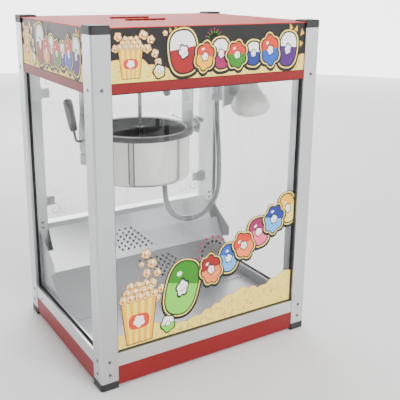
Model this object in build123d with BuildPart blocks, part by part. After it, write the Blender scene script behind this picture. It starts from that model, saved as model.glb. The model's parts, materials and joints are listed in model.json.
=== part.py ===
from build123d import *

import os
from math import cos, radians, sin, tan

# Cabinet popcorn maker: a glazed cabinet on four aluminium posts, with a tipping kettle hung
# from the header. Millimetres, +Z up. The printed front faces -Y, the doors are at +Y, and the
# origin is the footprint's middle.

# ---- overall sizes ----
width = 560.0
depth = 450.0
height = 770.0

# ---- posts and their end caps ----
post_size = 40.0
post_wall = 2.5
post_edge = 3.5
cap_proud = 1.0
foot_height = 18.0
top_cap_height = 17.0
cap_edge = 5.0
plug_depth = 12.0
plug_gap = 0.3

# ---- heights of the cabinet's levels ----
skirt_low = 8.0
skirt_high = 52.0
rail_height = 31.0
header_low = 640.0
header_rail_height = 19.0
roof_drop = 4.5

# ---- sections ----
sheet = 1.5
face_recess = 1.0
rail_depth = 18.0
rail_wall = 2.0
groove_depth = 8.0
groove_width = 6.0
skirt_wall = 2.0
skirt_flange = 14.0
joint_gap = 0.2
glass_thick = 4.0
glass_gap = 1.0
gasket_play = 0.1
gasket_side = 4.0
gasket_show = 3.0
sign_thick = 3.0
sign_recess = 3.0

post_out_x = width / 2 - cap_proud
post_out_y = depth / 2 - cap_proud
post_in_x = post_out_x - post_size
post_in_y = post_out_y - post_size
face_x = post_out_x - face_recess
face_y = post_out_y - face_recess
rail_high = skirt_high + rail_height
header_high = header_low + header_rail_height
roof_high = height - roof_drop
roof_low = roof_high - sheet
corners = [(sx, sy) for sx in (-1, 1) for sy in (-1, 1)]

# ---- kettle ----
kettle_x = -65.0
pivot_z = 500.0
rim_rise = 18.0
rim_thick = 12.0
rim_radius = 125.0
rim_width = 17.0
rim_overhang = 8.0
shell_height = 106.0
shell_wall = 1.2
shell_corner = 12.0
pot_wall = 2.0
pot_floor_gap = 16.0
trunnion_radius = 5.0
running = 0.05
pot_radius = rim_radius - rim_width
shell_radius = rim_radius - rim_overhang
rim_top = pivot_z + rim_rise
rim_low = rim_top - rim_thick
shell_low = rim_low - shell_height
pot_low = shell_low + pot_floor_gap
pot_floor = pot_low + pot_wall

# ---- hangers ----
hanger_left_gap = 138.0
hanger_right_gap = 131.0
hanger_thick = 3.0
hanger_width = 48.0
hanger_foot = 30.0
floor_low = header_low + groove_depth + 0.5
floor_high = floor_low + sheet

# ---- stirrer drive ----
shaft_radius = 4.5
sleeve_radius = 7.0
sleeve_drop = 3.0
fork_gap = 9.0
notch_width = 4.2
stub_radius = 4.0
cross_pin_radius = 1.75
cross_pin_length = 13.0
lift_travel = 10.0
yoke_low = 618.0
yoke_height = 10.0
yoke_radius = 12.0
collar_radius = 8.0
collar_height = 5.0
side_play = 0.5
gear_size = (70.0, 60.0, 50.0)
motor_radius = 32.0
motor_height = 50.0

# ---- doors ----
sill_play = 0.25
sill_low = 234.0
sill_high = 249.0
door_thick = 5.0
door_inset = 19.0
door_gap = 2.0
hinge_inset = 7.0
hinge_stand = 6.0
hinge_pin_radius = 2.0
barrel_radius = 4.0
barrel_height = 24.0
hinge_heights = (300.0, 580.0)
knob_radius = 11.0
knob_length = 14.0

# ---- serving apron and deck ----
fold_y = 122.0
fold_z = 137.0
toe_y = 30.0
deck_top = 57.0
toe_flange = 30.0
hole_radius = 3.4
hole_pitch = 17.5
hole_shift = 8.0
hole_row = 9.0
hole_columns = 6
hole_rows = 7

# ---- kernel drawer ----
drawer_half = 118.0
drawer_low = 14.0
drawer_high = 44.0
drawer_front_y = 10.0
drawer_wall = 1.2
drawer_gap = 3.0
slide_gap = 0.1

# ---- switches ----
switch_z = 712.0
switch_pitch = 60.0
switch_first = -150.0
rocker_width = 14.0
rocker_height = 23.0
rocker_tilt = 8.0
bezel_margin = 4.0
bezel_thick = 1.5

# ---- lamp ----
lamp_x = 206.0
lamp_y = -70.0
lamp_wide_z = 558.0
lamp_radius = 48.5
lamp_neck = 23.5
socket_radius = 21.0

# ---- flexible conduit ----
conduit_radius = 7.5
conduit_x = 172.0
conduit_y = 30.0
nut_low = 558.0
nut_radius = 16.0
nut_height = 17.0
chrome_radius = 13.5
inlet_x = 14.0
inlet_y = 26.0
inlet_length = 14.0
conduit_route = [
    (conduit_x, conduit_y, nut_low),
    (conduit_x, conduit_y, 506.0),
    (180.0, 31.0, 440.0),
    (184.0, 32.0, 372.0),
    (183.0, 32.0, 307.4),
    (150.5, 31.0, 262.7),
    (98.0, 30.0, 245.6),
    (45.5, 28.0, 262.7),
    (inlet_x, inlet_y, 307.4),
    (inlet_x, inlet_y, shell_low - inlet_length),
]


def block(low, high):
    """A box between two opposite corners, added to the part being built."""
    size = [h - l for l, h in zip(low, high)]
    middle = [(l + h) / 2 for l, h in zip(low, high)]
    with Locations(tuple(middle)):
        Box(*size)


def cut_block(low, high):
    """A box between two opposite corners, taken out of the part being built."""
    size = [h - l for l, h in zip(low, high)]
    middle = [(l + h) / 2 for l, h in zip(low, high)]
    with Locations(tuple(middle)):
        Box(*size, mode=Mode.SUBTRACT)


def outline(points):
    """A filled polygon in the sketch being built."""
    Polygon(*points, align=None)


def cut_corners(reach_x, reach_y, low, high):
    """Clears the four posts out of a plate that runs between them."""
    for sx, sy in corners:
        x0 = sx * (post_in_x - joint_gap)
        y0 = sy * (post_in_y - joint_gap)
        xs = sorted((x0, sx * reach_x))
        ys = sorted((y0, sy * reach_y))
        cut_block((xs[0], ys[0], low), (xs[1], ys[1], high))


# ---- corner posts ----
def corner_post(sx, sy):
    """A square aluminium tube with its outer edge bevelled."""
    xs = sorted((sx * post_in_x, sx * post_out_x))
    ys = sorted((sy * post_in_y, sy * post_out_y))
    top = height - top_cap_height
    with BuildPart() as post:
        block((xs[0], ys[0], foot_height), (xs[1], ys[1], top))
        upright = post.edges().filter_by(Axis.Z)
        chamfer(upright.sort_by(lambda e: -sx * e.center().X - sy * e.center().Y)[0], post_edge)
        cut_block(
            (xs[0] + post_wall, ys[0] + post_wall, foot_height),
            (xs[1] - post_wall, ys[1] - post_wall, top),
        )
    return post


def corner_caps(low, high, plug_from, plug_to, edge_level):
    """Four moulded caps: a square head as wide as the footprint, and a plug inside each post."""
    head = post_size + cap_proud
    plug = post_size - 2 * post_wall - 2 * plug_gap
    with BuildPart() as caps:
        for sx, sy in corners:
            with BuildSketch(Plane.XY.offset(low)):
                with Locations((sx * (width - head) / 2, sy * (depth - head) / 2)):
                    Rectangle(head, head)
                    outer = vertices().sort_by(lambda v: -sx * v.X - sy * v.Y)[0]
                    chamfer(outer, cap_edge)
            extrude(amount=high - low)
            with BuildSketch(Plane.XY.offset(plug_from)):
                with Locations((sx * (post_out_x - post_size / 2), sy * (post_out_y - post_size / 2))):
                    Rectangle(plug, plug)
            extrude(amount=plug_to - plug_from)
        rims = edges().filter_by(Plane.XY).group_by(Axis.Z)[edge_level]
        chamfer(rims, 2.0)
    return caps


posts = {
    "post_front_left": corner_post(-1, -1),
    "post_front_right": corner_post(1, -1),
    "post_back_left": corner_post(-1, 1),
    "post_back_right": corner_post(1, 1),
}
post_top = height - top_cap_height
foot_caps = corner_caps(0, foot_height, foot_height, foot_height + plug_depth, 0)
top_caps = corner_caps(post_top, height, post_top - plug_depth, post_top, -1)


# ---- rails and skirt: straight members between the posts ----
def members(section, hollow=None):
    """Four lengths of one section, one on each side, from points (distance in from the face, height)."""
    with BuildPart() as ring:
        for plane, face, half in ((Plane.YZ, face_y, post_in_x), (Plane.XZ, face_x, post_in_y)):
            for side in (-1, 1):
                with BuildSketch(plane):
                    outline([(side * (face - inset), z) for inset, z in section])
                    if hollow:
                        inset, z, wide, tall = hollow
                        with Locations((side * (face - inset), z)):
                            Rectangle(wide, tall, mode=Mode.SUBTRACT)
                extrude(amount=half - joint_gap, both=True)
    return ring


def groove(level, away):
    """The glazing groove's four corners in a rail's section; away is the height of its bottom."""
    first = (rail_depth - groove_width) / 2
    last = first + groove_width
    return [(last, level), (last, away), (first, away), (first, level)]


groove_low = rail_high - groove_depth
groove_high = header_low + groove_depth
tube_tall = groove_low - skirt_high - 2 * rail_wall
rail_section = [(0, skirt_high), (rail_depth, skirt_high), (rail_depth, rail_high)]
rail_section += groove(rail_high, groove_low) + [(0, rail_high)]
bottom_rails = members(
    rail_section,
    (rail_depth / 2, skirt_high + rail_wall + tube_tall / 2, rail_depth - 2 * rail_wall, tube_tall),
)
header_section = [(0, header_high), (rail_depth, header_high), (rail_depth, header_low)]
header_section += groove(header_low, groove_high) + [(0, header_low)]
header_rails = members(header_section)

drawer_opening = (drawer_half + drawer_gap, drawer_low - 2, drawer_high + 4)
skirt_section = [
    (0, skirt_low),
    (skirt_flange, skirt_low),
    (skirt_flange, skirt_low + skirt_wall),
    (skirt_wall, skirt_low + skirt_wall),
    (skirt_wall, skirt_high - skirt_wall),
    (skirt_flange, skirt_high - skirt_wall),
    (skirt_flange, skirt_high),
    (0, skirt_high),
]
skirt_members = members(skirt_section)
with BuildPart() as base_skirt:
    add(skirt_members.part)
    half, low, high = drawer_opening
    cut_block((-half, face_y - skirt_wall - 1, low), (half, face_y + 1, high))

with BuildPart() as base_pan:
    pan_z = skirt_low + skirt_wall
    half_x = face_x - skirt_flange + 8
    half_y = face_y - skirt_flange + 8
    block((-half_x, -half_y, pan_z), (half_x, half_y, pan_z + sheet))
    cut_corners(width, depth, pan_z - 1, pan_z + sheet + 1)
    for side in (-1, 1):
        xs = sorted((side * 60, side * 72))
        block((xs[0], drawer_front_y, pan_z + sheet), (xs[1], half_y - 2, drawer_low - slide_gap))

# ---- roof, header floor, signs and control panel ----
vent_rows = ((52.0, -100.0), (-32.0, -102.0))
vent_pitch = 20.0
vent_count = 5
louvre_length = 17.0
louvre_depth = 9.0
louvre_rise = 3.8
with BuildPart() as roof_panel:
    block((-face_x, -face_y, roof_low), (face_x, face_y, roof_high))
    cut_corners(width, depth, roof_low - 1, roof_high + 1)
    for row_y, first_x in vent_rows:
        for i in range(vent_count):
            left = first_x + vent_pitch * i - louvre_length / 2
            right = left + louvre_length
            back = row_y + louvre_depth
            block((left, row_y, roof_high), (right, back, roof_high + louvre_rise))
            cut_block((left + 1, row_y, roof_low), (right - 1, back - 1, roof_high + louvre_rise - 1))

sign_half_x = post_in_x - joint_gap
sign_half_y = post_in_y - joint_gap
sign_in_x = post_out_x - sign_recess - sign_thick
sign_in_y = post_out_y - sign_recess - sign_thick
with BuildPart() as sign_panels:
    block((-sign_half_x, -sign_in_y - sign_thick, header_high), (sign_half_x, -sign_in_y, roof_low))
    for side in (-1, 1):
        xs = sorted((side * sign_in_x, side * (sign_in_x + sign_thick)))
        block((xs[0], -sign_half_y, header_high), (xs[1], sign_half_y, roof_low))

switch_xs = [switch_first + switch_pitch * i for i in range(3)]
gland_x = 190.0
gland_z = 690.0
gland_hole = 8.0
with BuildPart() as control_panel:
    block((-sign_half_x, sign_in_y, header_high), (sign_half_x, sign_in_y + sign_thick, roof_low))
    for x in switch_xs:
        half_w = rocker_width / 2 + bezel_margin - 1
        half_h = rocker_height / 2 + bezel_margin - 1
        cut_block(
            (x - half_w, sign_in_y - 1, switch_z - half_h),
            (x + half_w, depth / 2, switch_z + half_h),
        )
    with BuildSketch(Plane.XZ.offset(-sign_in_y)):
        with Locations((gland_x, gland_z)):
            Circle(gland_hole)
    extrude(amount=-sign_thick, mode=Mode.SUBTRACT)

with BuildPart() as header_floor:
    half_x = face_x - rail_depth - joint_gap
    half_y = face_y - rail_depth - joint_gap
    block((-half_x, -half_y, floor_low), (half_x, half_y, floor_high))
    cut_corners(width, depth, floor_low - 1, floor_high + 1)
    with BuildSketch(Plane.XY.offset(floor_low)):
        with Locations((kettle_x, 0)):
            Circle(collar_radius + 1)
        with Locations((conduit_x, conduit_y)):
            Circle(chrome_radius - 3)
        with Locations((lamp_x, lamp_y)):
            Circle(socket_radius - 8)
    extrude(amount=sheet, mode=Mode.SUBTRACT)

# ---- glazing ----
pane_in = (rail_depth - glass_thick) / 2
pane_low = groove_low + glass_gap
pane_high = groove_high - glass_gap
pane_half_x = post_in_x - glass_gap
pane_half_y = post_in_y - glass_gap


def panes():
    """The front pane and the two side panes."""
    front_y = -face_y + pane_in
    block((-pane_half_x, front_y, pane_low), (pane_half_x, front_y + glass_thick, pane_high))
    for side in (-1, 1):
        xs = sorted((side * (face_x - pane_in), side * (face_x - pane_in - glass_thick)))
        block((xs[0], -pane_half_y, pane_low), (xs[1], pane_half_y, pane_high))


with BuildPart() as glass_panes:
    panes()

with BuildPart() as pane_room:
    panes()

with BuildPart() as glass_gaskets:
    thick = groove_width - 2 * gasket_play
    near = (rail_depth - thick) / 2
    low = groove_low + gasket_play
    high = groove_high - gasket_play
    show_low = rail_high + gasket_show
    show_high = header_low - gasket_show
    edge_x = post_in_x - gasket_play
    edge_y = post_in_y - gasket_play
    block((-edge_x, -face_y + near, low), (edge_x, -face_y + near + thick, high))
    cut_block(
        (-edge_x + gasket_side, -face_y, show_low), (edge_x - gasket_side, -face_y + rail_depth, show_high)
    )
    for side in (-1, 1):
        xs = sorted((side * (face_x - near), side * (face_x - near - thick)))
        block((xs[0], -edge_y, low), (xs[1], edge_y, high))
        xs = sorted((side * face_x, side * (face_x - rail_depth)))
        cut_block((xs[0], -edge_y + gasket_side, show_low), (xs[1], edge_y - gasket_side, show_high))
    add(pane_room.part, mode=Mode.SUBTRACT)

# ---- back wall, sill, apron and deck ----
panel_y = face_y - rail_depth / 2 - sheet / 2
sill_out_y = panel_y - sill_play
with BuildPart() as door_sill:
    block((-sign_half_x, post_in_y, sill_low), (sign_half_x, sill_out_y, sill_high))
    cut_block(
        (-post_in_x, post_in_y + rail_wall, sill_low + rail_wall),
        (post_in_x, sill_out_y - rail_wall, sill_high - rail_wall),
    )

with BuildPart() as back_panel:
    block((-pane_half_x, panel_y, groove_low + glass_gap), (pane_half_x, panel_y + sheet, sill_high))

apron_top = sill_high - 2
apron_back = post_in_y - joint_gap
apron_half = face_x - rail_depth - 0.5
slope_start = sill_low + 1
apron_line = [
    (apron_back, apron_top),
    (apron_back, slope_start),
    (fold_y, fold_z),
    (toe_y, deck_top),
    (toe_y - toe_flange, deck_top),
]


def slope_plane(upper, lower, x, share):
    """The plane of a slope that falls from upper to lower, set at a share of the way down."""
    fall = Vector(0, upper[0] - lower[0], upper[1] - lower[1]).normalized()
    y = upper[0] + (lower[0] - upper[0]) * share
    z = upper[1] + (lower[1] - upper[1]) * share
    return Plane(origin=(x, y, z), x_dir=(1, 0, 0), z_dir=Vector(1, 0, 0).cross(fall))


drain_patches = (
    (-15.0, 0.36, (apron_back, slope_start), (fold_y, fold_z)),
    (70.0, 0.17, (fold_y, fold_z), (toe_y, deck_top)),
)
drain_places = [
    (hole_shift * k - hole_pitch * j, -hole_row * k) for k in range(hole_rows) for j in range(hole_columns)
]
with BuildPart() as serving_apron:
    with BuildSketch(Plane.YZ):
        with BuildLine():
            Polyline(*apron_line)
            offset(amount=sheet, side=Side.RIGHT, kind=Kind.INTERSECTION)
        make_face()
    extrude(amount=apron_half, both=True)
    cut_block((-width, post_in_y - 40, sill_low - 1.2 * post_size), (-post_in_x, depth, height))
    cut_block((post_in_x, post_in_y - 40, sill_low - 1.2 * post_size), (width, depth, height))
    for x, share, upper, lower in drain_patches:
        with BuildSketch(slope_plane(upper, lower, x, share)):
            with Locations(*drain_places):
                Circle(hole_radius)
        extrude(amount=3 * sheet, both=True, mode=Mode.SUBTRACT)

cheek_inner = [
    (post_in_y - 1, 150),
    (131, 150),
    (fold_y, fold_z),
    (60.5, rail_high + 0.5),
    (post_in_y - 1, rail_high + 0.5),
]
cheek_outer = [(post_in_y - 1, 232), (89, 172), (91, 146), (fold_y, 136), (post_in_y - 1, 136)]
with BuildPart() as side_cheeks:
    for side in (-1, 1):
        for layer, shape in enumerate((cheek_inner, cheek_outer)):
            with BuildSketch(Plane.YZ.offset(side * (apron_half + sheet * (layer + 0.5)))):
                outline(shape)
            extrude(amount=sheet / 2, both=True)

with BuildPart() as deck_plate:
    half_x = face_x - rail_depth - joint_gap
    half_y = face_y - rail_depth - joint_gap
    block((-half_x, -half_y, deck_top - sheet), (half_x, toe_y, deck_top))
    cut_corners(width, depth, deck_top - 5, deck_top + 5)

# ---- kernel drawer ----
with BuildPart() as kernel_drawer:
    inner = drawer_half - drawer_wall
    face_half = drawer_half + drawer_gap - 0.7
    face_low = drawer_opening[1] + 0.7
    face_high = drawer_opening[2] - 0.7
    tray_back = face_y - skirt_wall
    block((-drawer_half, drawer_front_y, drawer_low), (drawer_half, tray_back, drawer_high))
    cut_block(
        (-inner, drawer_front_y + drawer_wall, drawer_low + drawer_wall), (inner, tray_back, drawer_high)
    )
    block((-face_half, tray_back, face_low), (face_half, face_y, face_high))
    with BuildSketch(Plane.XZ.offset(-tray_back)):
        with Locations((0, face_high)):
            Circle(14)
    extrude(amount=-skirt_wall, mode=Mode.SUBTRACT)

# ---- doors, hinges and knobs ----
door_low = sill_high + 1
door_high = header_low - door_gap
door_in_y = post_in_y + door_inset
door_out_y = door_in_y + door_thick
hinge_x = post_in_x - hinge_inset
hinge_y = door_out_y + hinge_stand
door_edge = hinge_x + barrel_radius
arm_thick = 3.0
arm_gap = 0.5


def door(side):
    """A clear acrylic leaf with two holes for its knob."""
    xs = sorted((side * door_gap, side * door_edge))
    with BuildPart() as leaf:
        block((xs[0], door_in_y, door_low), (xs[1], door_out_y, door_high))
        chamfer(leaf.edges().filter_by(Axis.Y), 1.5)
    return leaf


def door_hinges(side):
    """The moving halves of one door's two hinges."""
    with BuildPart() as halves:
        for z in hinge_heights:
            xs = sorted((side * (hinge_x - 22), side * hinge_x))
            half_height = barrel_height / 2
            block((xs[0], door_out_y, z - half_height), (xs[1], door_out_y + 2, z + half_height))
            xs = sorted((side * (hinge_x - barrel_radius), side * hinge_x))
            block((xs[0], door_out_y, z - half_height), (xs[1], hinge_y, z + half_height))
            with Locations((side * hinge_x, hinge_y, z)):
                Cylinder(barrel_radius, barrel_height)
                Cylinder(hinge_pin_radius + running, barrel_height, mode=Mode.SUBTRACT)
    return halves


def door_knob(side):
    """A turned knob standing on the outer face of a door."""
    with BuildPart() as knob:
        with BuildSketch(Plane.XZ.offset(-door_out_y)):
            with Locations((side * 25, 440)):
                Circle(knob_radius - 4)
        extrude(amount=-knob_length)
        with BuildSketch(Plane.XZ.offset(-door_out_y - knob_length / 2)):
            with Locations((side * 25, 440)):
                Circle(knob_radius)
        extrude(amount=-knob_length / 2)
        fillet(knob.edges().filter_by(GeomType.CIRCLE).sort_by(Axis.Y)[-1], 2)
    return knob


with BuildPart() as hinge_brackets:
    for side in (-1, 1):
        for z in hinge_heights:
            reach = barrel_height / 2 + arm_gap
            xs = sorted((side * (post_in_x - 2), side * post_in_x))
            block((xs[0], hinge_y - 10, z - reach - 8), (xs[1], hinge_y + 8, z + reach + 8))
            xs = sorted((side * (hinge_x - 4), side * post_in_x))
            for foot in (-reach - arm_thick, reach):
                block((xs[0], hinge_y - 4, z + foot), (xs[1], hinge_y + 4, z + foot + arm_thick))
            with Locations((side * hinge_x, hinge_y, z)):
                Cylinder(hinge_pin_radius, 2 * (reach + arm_thick))

# ---- kettle: shell, lined pot with its rim, heating element ----
with BuildPart() as kettle_shell:
    with Locations((kettle_x, 0, shell_low + shell_height / 2)):
        Cylinder(shell_radius, shell_height)
    fillet(kettle_shell.edges().sort_by(Axis.Z)[0], shell_corner)
    offset(amount=-shell_wall, openings=kettle_shell.faces().sort_by(Axis.Z)[-1])

boss_radius = 5.0
boss_height = 8.0
with BuildPart() as kettle_pot:
    pot_height = rim_top - pot_low
    with Locations((kettle_x, 0, pot_low + pot_height / 2)):
        Cylinder(pot_radius + pot_wall, pot_height)
    fillet(kettle_pot.edges().sort_by(Axis.Z)[0], 9)
    offset(amount=-pot_wall, openings=kettle_pot.faces().sort_by(Axis.Z)[-1])
    with BuildSketch(Plane.XY.offset(rim_low)):
        with Locations((kettle_x, 0)):
            Circle(rim_radius)
            Circle(pot_radius, mode=Mode.SUBTRACT)
    extrude(amount=rim_thick)
    fillet(kettle_pot.edges().filter_by(GeomType.CIRCLE).filter_by_position(Axis.Z, rim_top, rim_top), 2)
    with Locations((kettle_x, 0, pot_floor + boss_height / 2)):
        Cylinder(boss_radius, boss_height)

element_radius = 3.0
with BuildPart() as heating_element:
    with Locations((kettle_x, 0, pot_low - element_radius)):
        Torus(75, element_radius)

# ---- kettle: trunnions, tipping lever, conduit fitting ----
bracket_reach = 26.0
bracket_leg = hanger_right_gap + bracket_reach
trunnion_left = hanger_left_gap + 2 * hanger_thick + 5
trunnion_right = bracket_leg + 3
pad_thick = 6.0
pad_half = 16.0
with BuildPart() as kettle_trunnions:
    for side, reach in ((-1, trunnion_left), (1, trunnion_right)):
        with BuildSketch(Plane.YZ.offset(kettle_x + side * (shell_radius - 2))):
            with Locations((0, pivot_z)):
                Circle(trunnion_radius)
        extrude(amount=side * (reach - shell_radius + 2))
        xs = sorted((kettle_x + side * (shell_radius - 3), kettle_x + side * (shell_radius + pad_thick)))
        block((xs[0], -pad_half, pivot_z - 18), (xs[1], pad_half, rim_low - 0.5))
    with Locations((kettle_x, 0, pivot_z)):
        Cylinder(shell_radius, 80, mode=Mode.SUBTRACT)

lever_lean = 26.8
lever_x = kettle_x - trunnion_left - 12
lever_rise = (0, sin(radians(lever_lean)), cos(radians(lever_lean)))
lever_radius = 3.0
grip_start = 26.0
grip_end = 100.0
grip_radius = 11.0


def up_lever(reach):
    """A point on the tipping lever's straight part."""
    return (lever_x, lever_rise[1] * reach, pivot_z + lever_rise[2] * reach)


with BuildPart() as tip_lever:
    with BuildLine():
        lever_foot = (kettle_x - trunnion_left, 0, pivot_z)
        FilletPolyline(lever_foot, (lever_x, 0, pivot_z), up_lever(grip_start), radius=6)
    with BuildSketch(Plane.YZ.offset(kettle_x - trunnion_left)):
        with Locations((0, pivot_z)):
            Circle(lever_radius)
    sweep()

with BuildPart() as tip_grip:
    with BuildSketch(Plane(origin=up_lever(grip_start), x_dir=(1, 0, 0), z_dir=lever_rise)):
        Circle(grip_radius)
    extrude(amount=grip_end - grip_start)
    fillet(tip_grip.edges().filter_by(GeomType.CIRCLE), 8)

with BuildPart() as conduit_fitting:
    with BuildSketch(Plane.XY.offset(shell_low - inlet_length)):
        with Locations((inlet_x, inlet_y)):
            Circle(9.5)
    extrude(amount=inlet_length)
    with BuildSketch(Plane.XY.offset(shell_low - inlet_length / 2 - 1)):
        with Locations((inlet_x, inlet_y)):
            RegularPolygon(12, 6)
    extrude(amount=inlet_length / 2 + 1)

# ---- stirrer in the kettle and the shaft that drives it ----
arm_play = 13.0
arm_reach = pot_radius - arm_play
arm_low = pot_floor + 2.5
hub_low = pot_floor + 1
hub_radius = 9.0
hub_height = 14.0
with BuildPart() as agitator:
    with BuildSketch(Plane.XY.offset(hub_low)):
        with Locations((kettle_x, 0)):
            Circle(hub_radius)
    extrude(amount=hub_height)
    stub_low = hub_low + hub_height
    with Locations((kettle_x, 0, (stub_low + pivot_z) / 2)):
        Cylinder(stub_radius, pivot_z - stub_low)
    with Locations((kettle_x, 0, pivot_z)):
        Sphere(stub_radius)
    with Locations((kettle_x, 0, pivot_z - 19)):
        Cylinder(6.5, 22)
    with Locations(Location((kettle_x, 0, pivot_z), (0, 90, 0))):
        Cylinder(cross_pin_radius, cross_pin_length)
    block((kettle_x - arm_reach, -2, arm_low + 3), (kettle_x + arm_reach, 2, arm_low + 7))
    for side in (-1, 1):
        for share in (0.45, 0.88):
            blade_x = kettle_x + side * arm_reach * share
            with Locations(Location((blade_x, 0, arm_low + 7), (0, 0, 35 * side))):
                Box(20, 2, 14)
    with Locations((kettle_x, 0, pot_floor + boss_height / 2)):
        Cylinder(boss_radius + running, boss_height + 1, mode=Mode.SUBTRACT)

gear_bore_top = floor_high + 40
shaft_top = gear_bore_top - lift_travel - 8
fork_low = pivot_z - sleeve_drop
collar_lows = (yoke_low - 1 - collar_height, yoke_low + yoke_height + 1)
with BuildPart() as drive_shaft:
    with Locations((kettle_x, 0, (fork_low + shaft_top) / 2)):
        Cylinder(shaft_radius, shaft_top - fork_low)
    with Locations((kettle_x, 0, fork_low + 11)):
        Cylinder(sleeve_radius, 22)
    cut_block((kettle_x - fork_gap / 2, -20, fork_low), (kettle_x + fork_gap / 2, 20, pivot_z + 6))
    cut_block((kettle_x - 20, -notch_width / 2, fork_low), (kettle_x + 20, notch_width / 2, pivot_z + 2.3))
    for low in collar_lows:
        with Locations((kettle_x, 0, low + collar_height / 2)):
            Cylinder(collar_radius, collar_height)

yoke_z = yoke_low + yoke_height / 2
yoke_pin_radius = 2.0
yoke_pin_reach = 17.0
with BuildPart() as lift_yoke:
    with Locations((kettle_x, 0, yoke_z)):
        Cylinder(yoke_radius, yoke_height)
    with Locations(Location((kettle_x, 0, yoke_z), (90, 0, 0))):
        Cylinder(yoke_pin_radius, 2 * yoke_pin_reach)
    with Locations((kettle_x, 0, yoke_z)):
        Cylinder(shaft_radius + running, yoke_height, mode=Mode.SUBTRACT)

lift_arm = 25.0
lift_x = kettle_x + lift_arm
lift_pin_radius = 3.0
lift_hub_radius = 6.0
tine_in = 13.5
tine_out = 16.5
lift_bend = (lift_x + 34, 0, yoke_z)
lift_end = (lift_x + 42, 0, yoke_z - 14)
lift_grip_end = (lift_x + 50, 0, yoke_z - 36)
with BuildPart() as lift_lever:
    with Locations(Location((lift_x, 0, yoke_z), (90, 0, 0))):
        Cylinder(lift_hub_radius, 2 * tine_out)
    for side in (-1, 1):
        ys = sorted((side * tine_in, side * tine_out))
        block((kettle_x - 6, ys[0], yoke_z - 6), (lift_x, ys[1], yoke_z + 6))
        cut_block((kettle_x - 7, ys[0] - 1, yoke_z - 3), (kettle_x + 6, ys[1] + 1, yoke_z + 3))
    block((lift_x + 3, -4, yoke_z - 2.5), (lift_bend[0], 4, yoke_z + 2.5))
    with BuildSketch(Plane.XZ):
        outline(
            [
                (lift_bend[0] - 3, yoke_z - 2.5),
                (lift_bend[0], yoke_z + 2.5),
                (lift_end[0] + 2.5, lift_end[2] + 1),
                (lift_end[0] - 2.5, lift_end[2] - 1),
            ]
        )
    extrude(amount=4, both=True)
    with Locations(Location((lift_x, 0, yoke_z), (90, 0, 0))):
        Cylinder(lift_pin_radius + running, 2 * tine_out, mode=Mode.SUBTRACT)

with BuildPart() as lift_grip:
    grip_dir = tuple(b - a for a, b in zip(lift_end, lift_grip_end))
    with BuildSketch(Plane(origin=lift_end, x_dir=(0, 1, 0), z_dir=grip_dir)):
        Circle(8.5)
    extrude(amount=Vector(*grip_dir).length)
    fillet(lift_grip.edges().filter_by(GeomType.CIRCLE), 4)
    add(lift_lever.part, mode=Mode.SUBTRACT)

with BuildPart() as lever_bracket:
    cheek_in = tine_out + side_play
    for side in (-1, 1):
        ys = sorted((side * cheek_in, side * (cheek_in + 3)))
        block((lift_x - 8, ys[0], yoke_z - 7), (lift_x + 8, ys[1], floor_low))
    block((lift_x - 8, -cheek_in - 3, floor_low - 3), (lift_x + 8, cheek_in + 3, floor_low))
    with Locations(Location((lift_x, 0, yoke_z), (90, 0, 0))):
        Cylinder(lift_pin_radius, 2 * (cheek_in + 3))

# ---- gearbox and motor above the header floor ----
with BuildPart() as gearbox:
    wide, deep, tall = gear_size
    block((kettle_x - wide / 2, -deep / 2, floor_high), (kettle_x + wide / 2, deep / 2, floor_high + tall))
    chamfer(gearbox.edges().filter_by(Axis.Z), 4)
    with Locations((kettle_x, 0, (floor_high + gear_bore_top) / 2)):
        Cylinder(shaft_radius + running, gear_bore_top - floor_high, mode=Mode.SUBTRACT)

with BuildPart() as drive_motor:
    motor_low = floor_high + gear_size[2]
    with Locations((kettle_x, 0, motor_low + motor_height / 2)):
        Cylinder(motor_radius, motor_height)
    fillet(drive_motor.edges().filter_by(GeomType.CIRCLE).sort_by(Axis.Z)[-1], 4)

# ---- hangers ----
plate_x = kettle_x - hanger_left_gap
with BuildPart() as hanger_left:
    half = hanger_width / 2
    strap_x = plate_x - hanger_thick
    leaf_x = strap_x - hanger_thick
    block((strap_x, -half, 545), (plate_x, half, floor_low))
    block((strap_x - hanger_foot, -half, floor_low - hanger_thick), (strap_x, half, floor_low))
    with BuildSketch(Plane.YZ.offset(leaf_x)):
        outline(
            [(-18, 560), (-18, 550), (-28, 512), (-26, 502), (-24, 476), (-18, 470)]
            + [(18, 470), (24, 476), (26, 502), (28, 512), (18, 550), (18, 560)]
        )
        with Locations((0, pivot_z)):
            Circle(trunnion_radius + running, mode=Mode.SUBTRACT)
    extrude(amount=hanger_thick)
    with Locations((strap_x - hanger_thick / 2, 0, 458)):
        Cylinder(10, 24)

bracket_half = 20.0
latch_x = kettle_x + 145
latch_y = -34.0
latch_z = 525.0
latch_pin_radius = 1.5
latch_wire_radius = 1.25
with BuildPart() as hanger_right:
    strap_x = kettle_x + hanger_right_gap
    leg_x = kettle_x + bracket_leg
    with BuildSketch(Plane.YZ.offset(strap_x)):
        outline([(-22, 492), (-15, 485), (21, 485), (28, 492), (28, floor_low), (-22, floor_low)])
        with Locations((0, pivot_z)):
            Circle(trunnion_radius + running, mode=Mode.SUBTRACT)
    extrude(amount=hanger_thick)
    block((strap_x, -22, floor_low - hanger_thick), (strap_x + hanger_foot, 28, floor_low))
    block((strap_x, -bracket_half, 527), (leg_x, bracket_half, 530))
    with BuildSketch(Plane.YZ.offset(leg_x - hanger_thick)):
        outline([(-20, 530), (-20, 500), (-10, 488), (10, 488), (20, 500), (20, 530)])
        with Locations((0, pivot_z)):
            Circle(trunnion_radius + running, mode=Mode.SUBTRACT)
    extrude(amount=hanger_thick)
    for x in (latch_x - 9, latch_x + 6):
        block((x, latch_y - 5, latch_z - 5), (x + 3, -bracket_half + 3, 530))
    with Locations(Location((latch_x, latch_y, latch_z), (0, 90, 0))):
        Cylinder(latch_pin_radius, 18)

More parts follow.
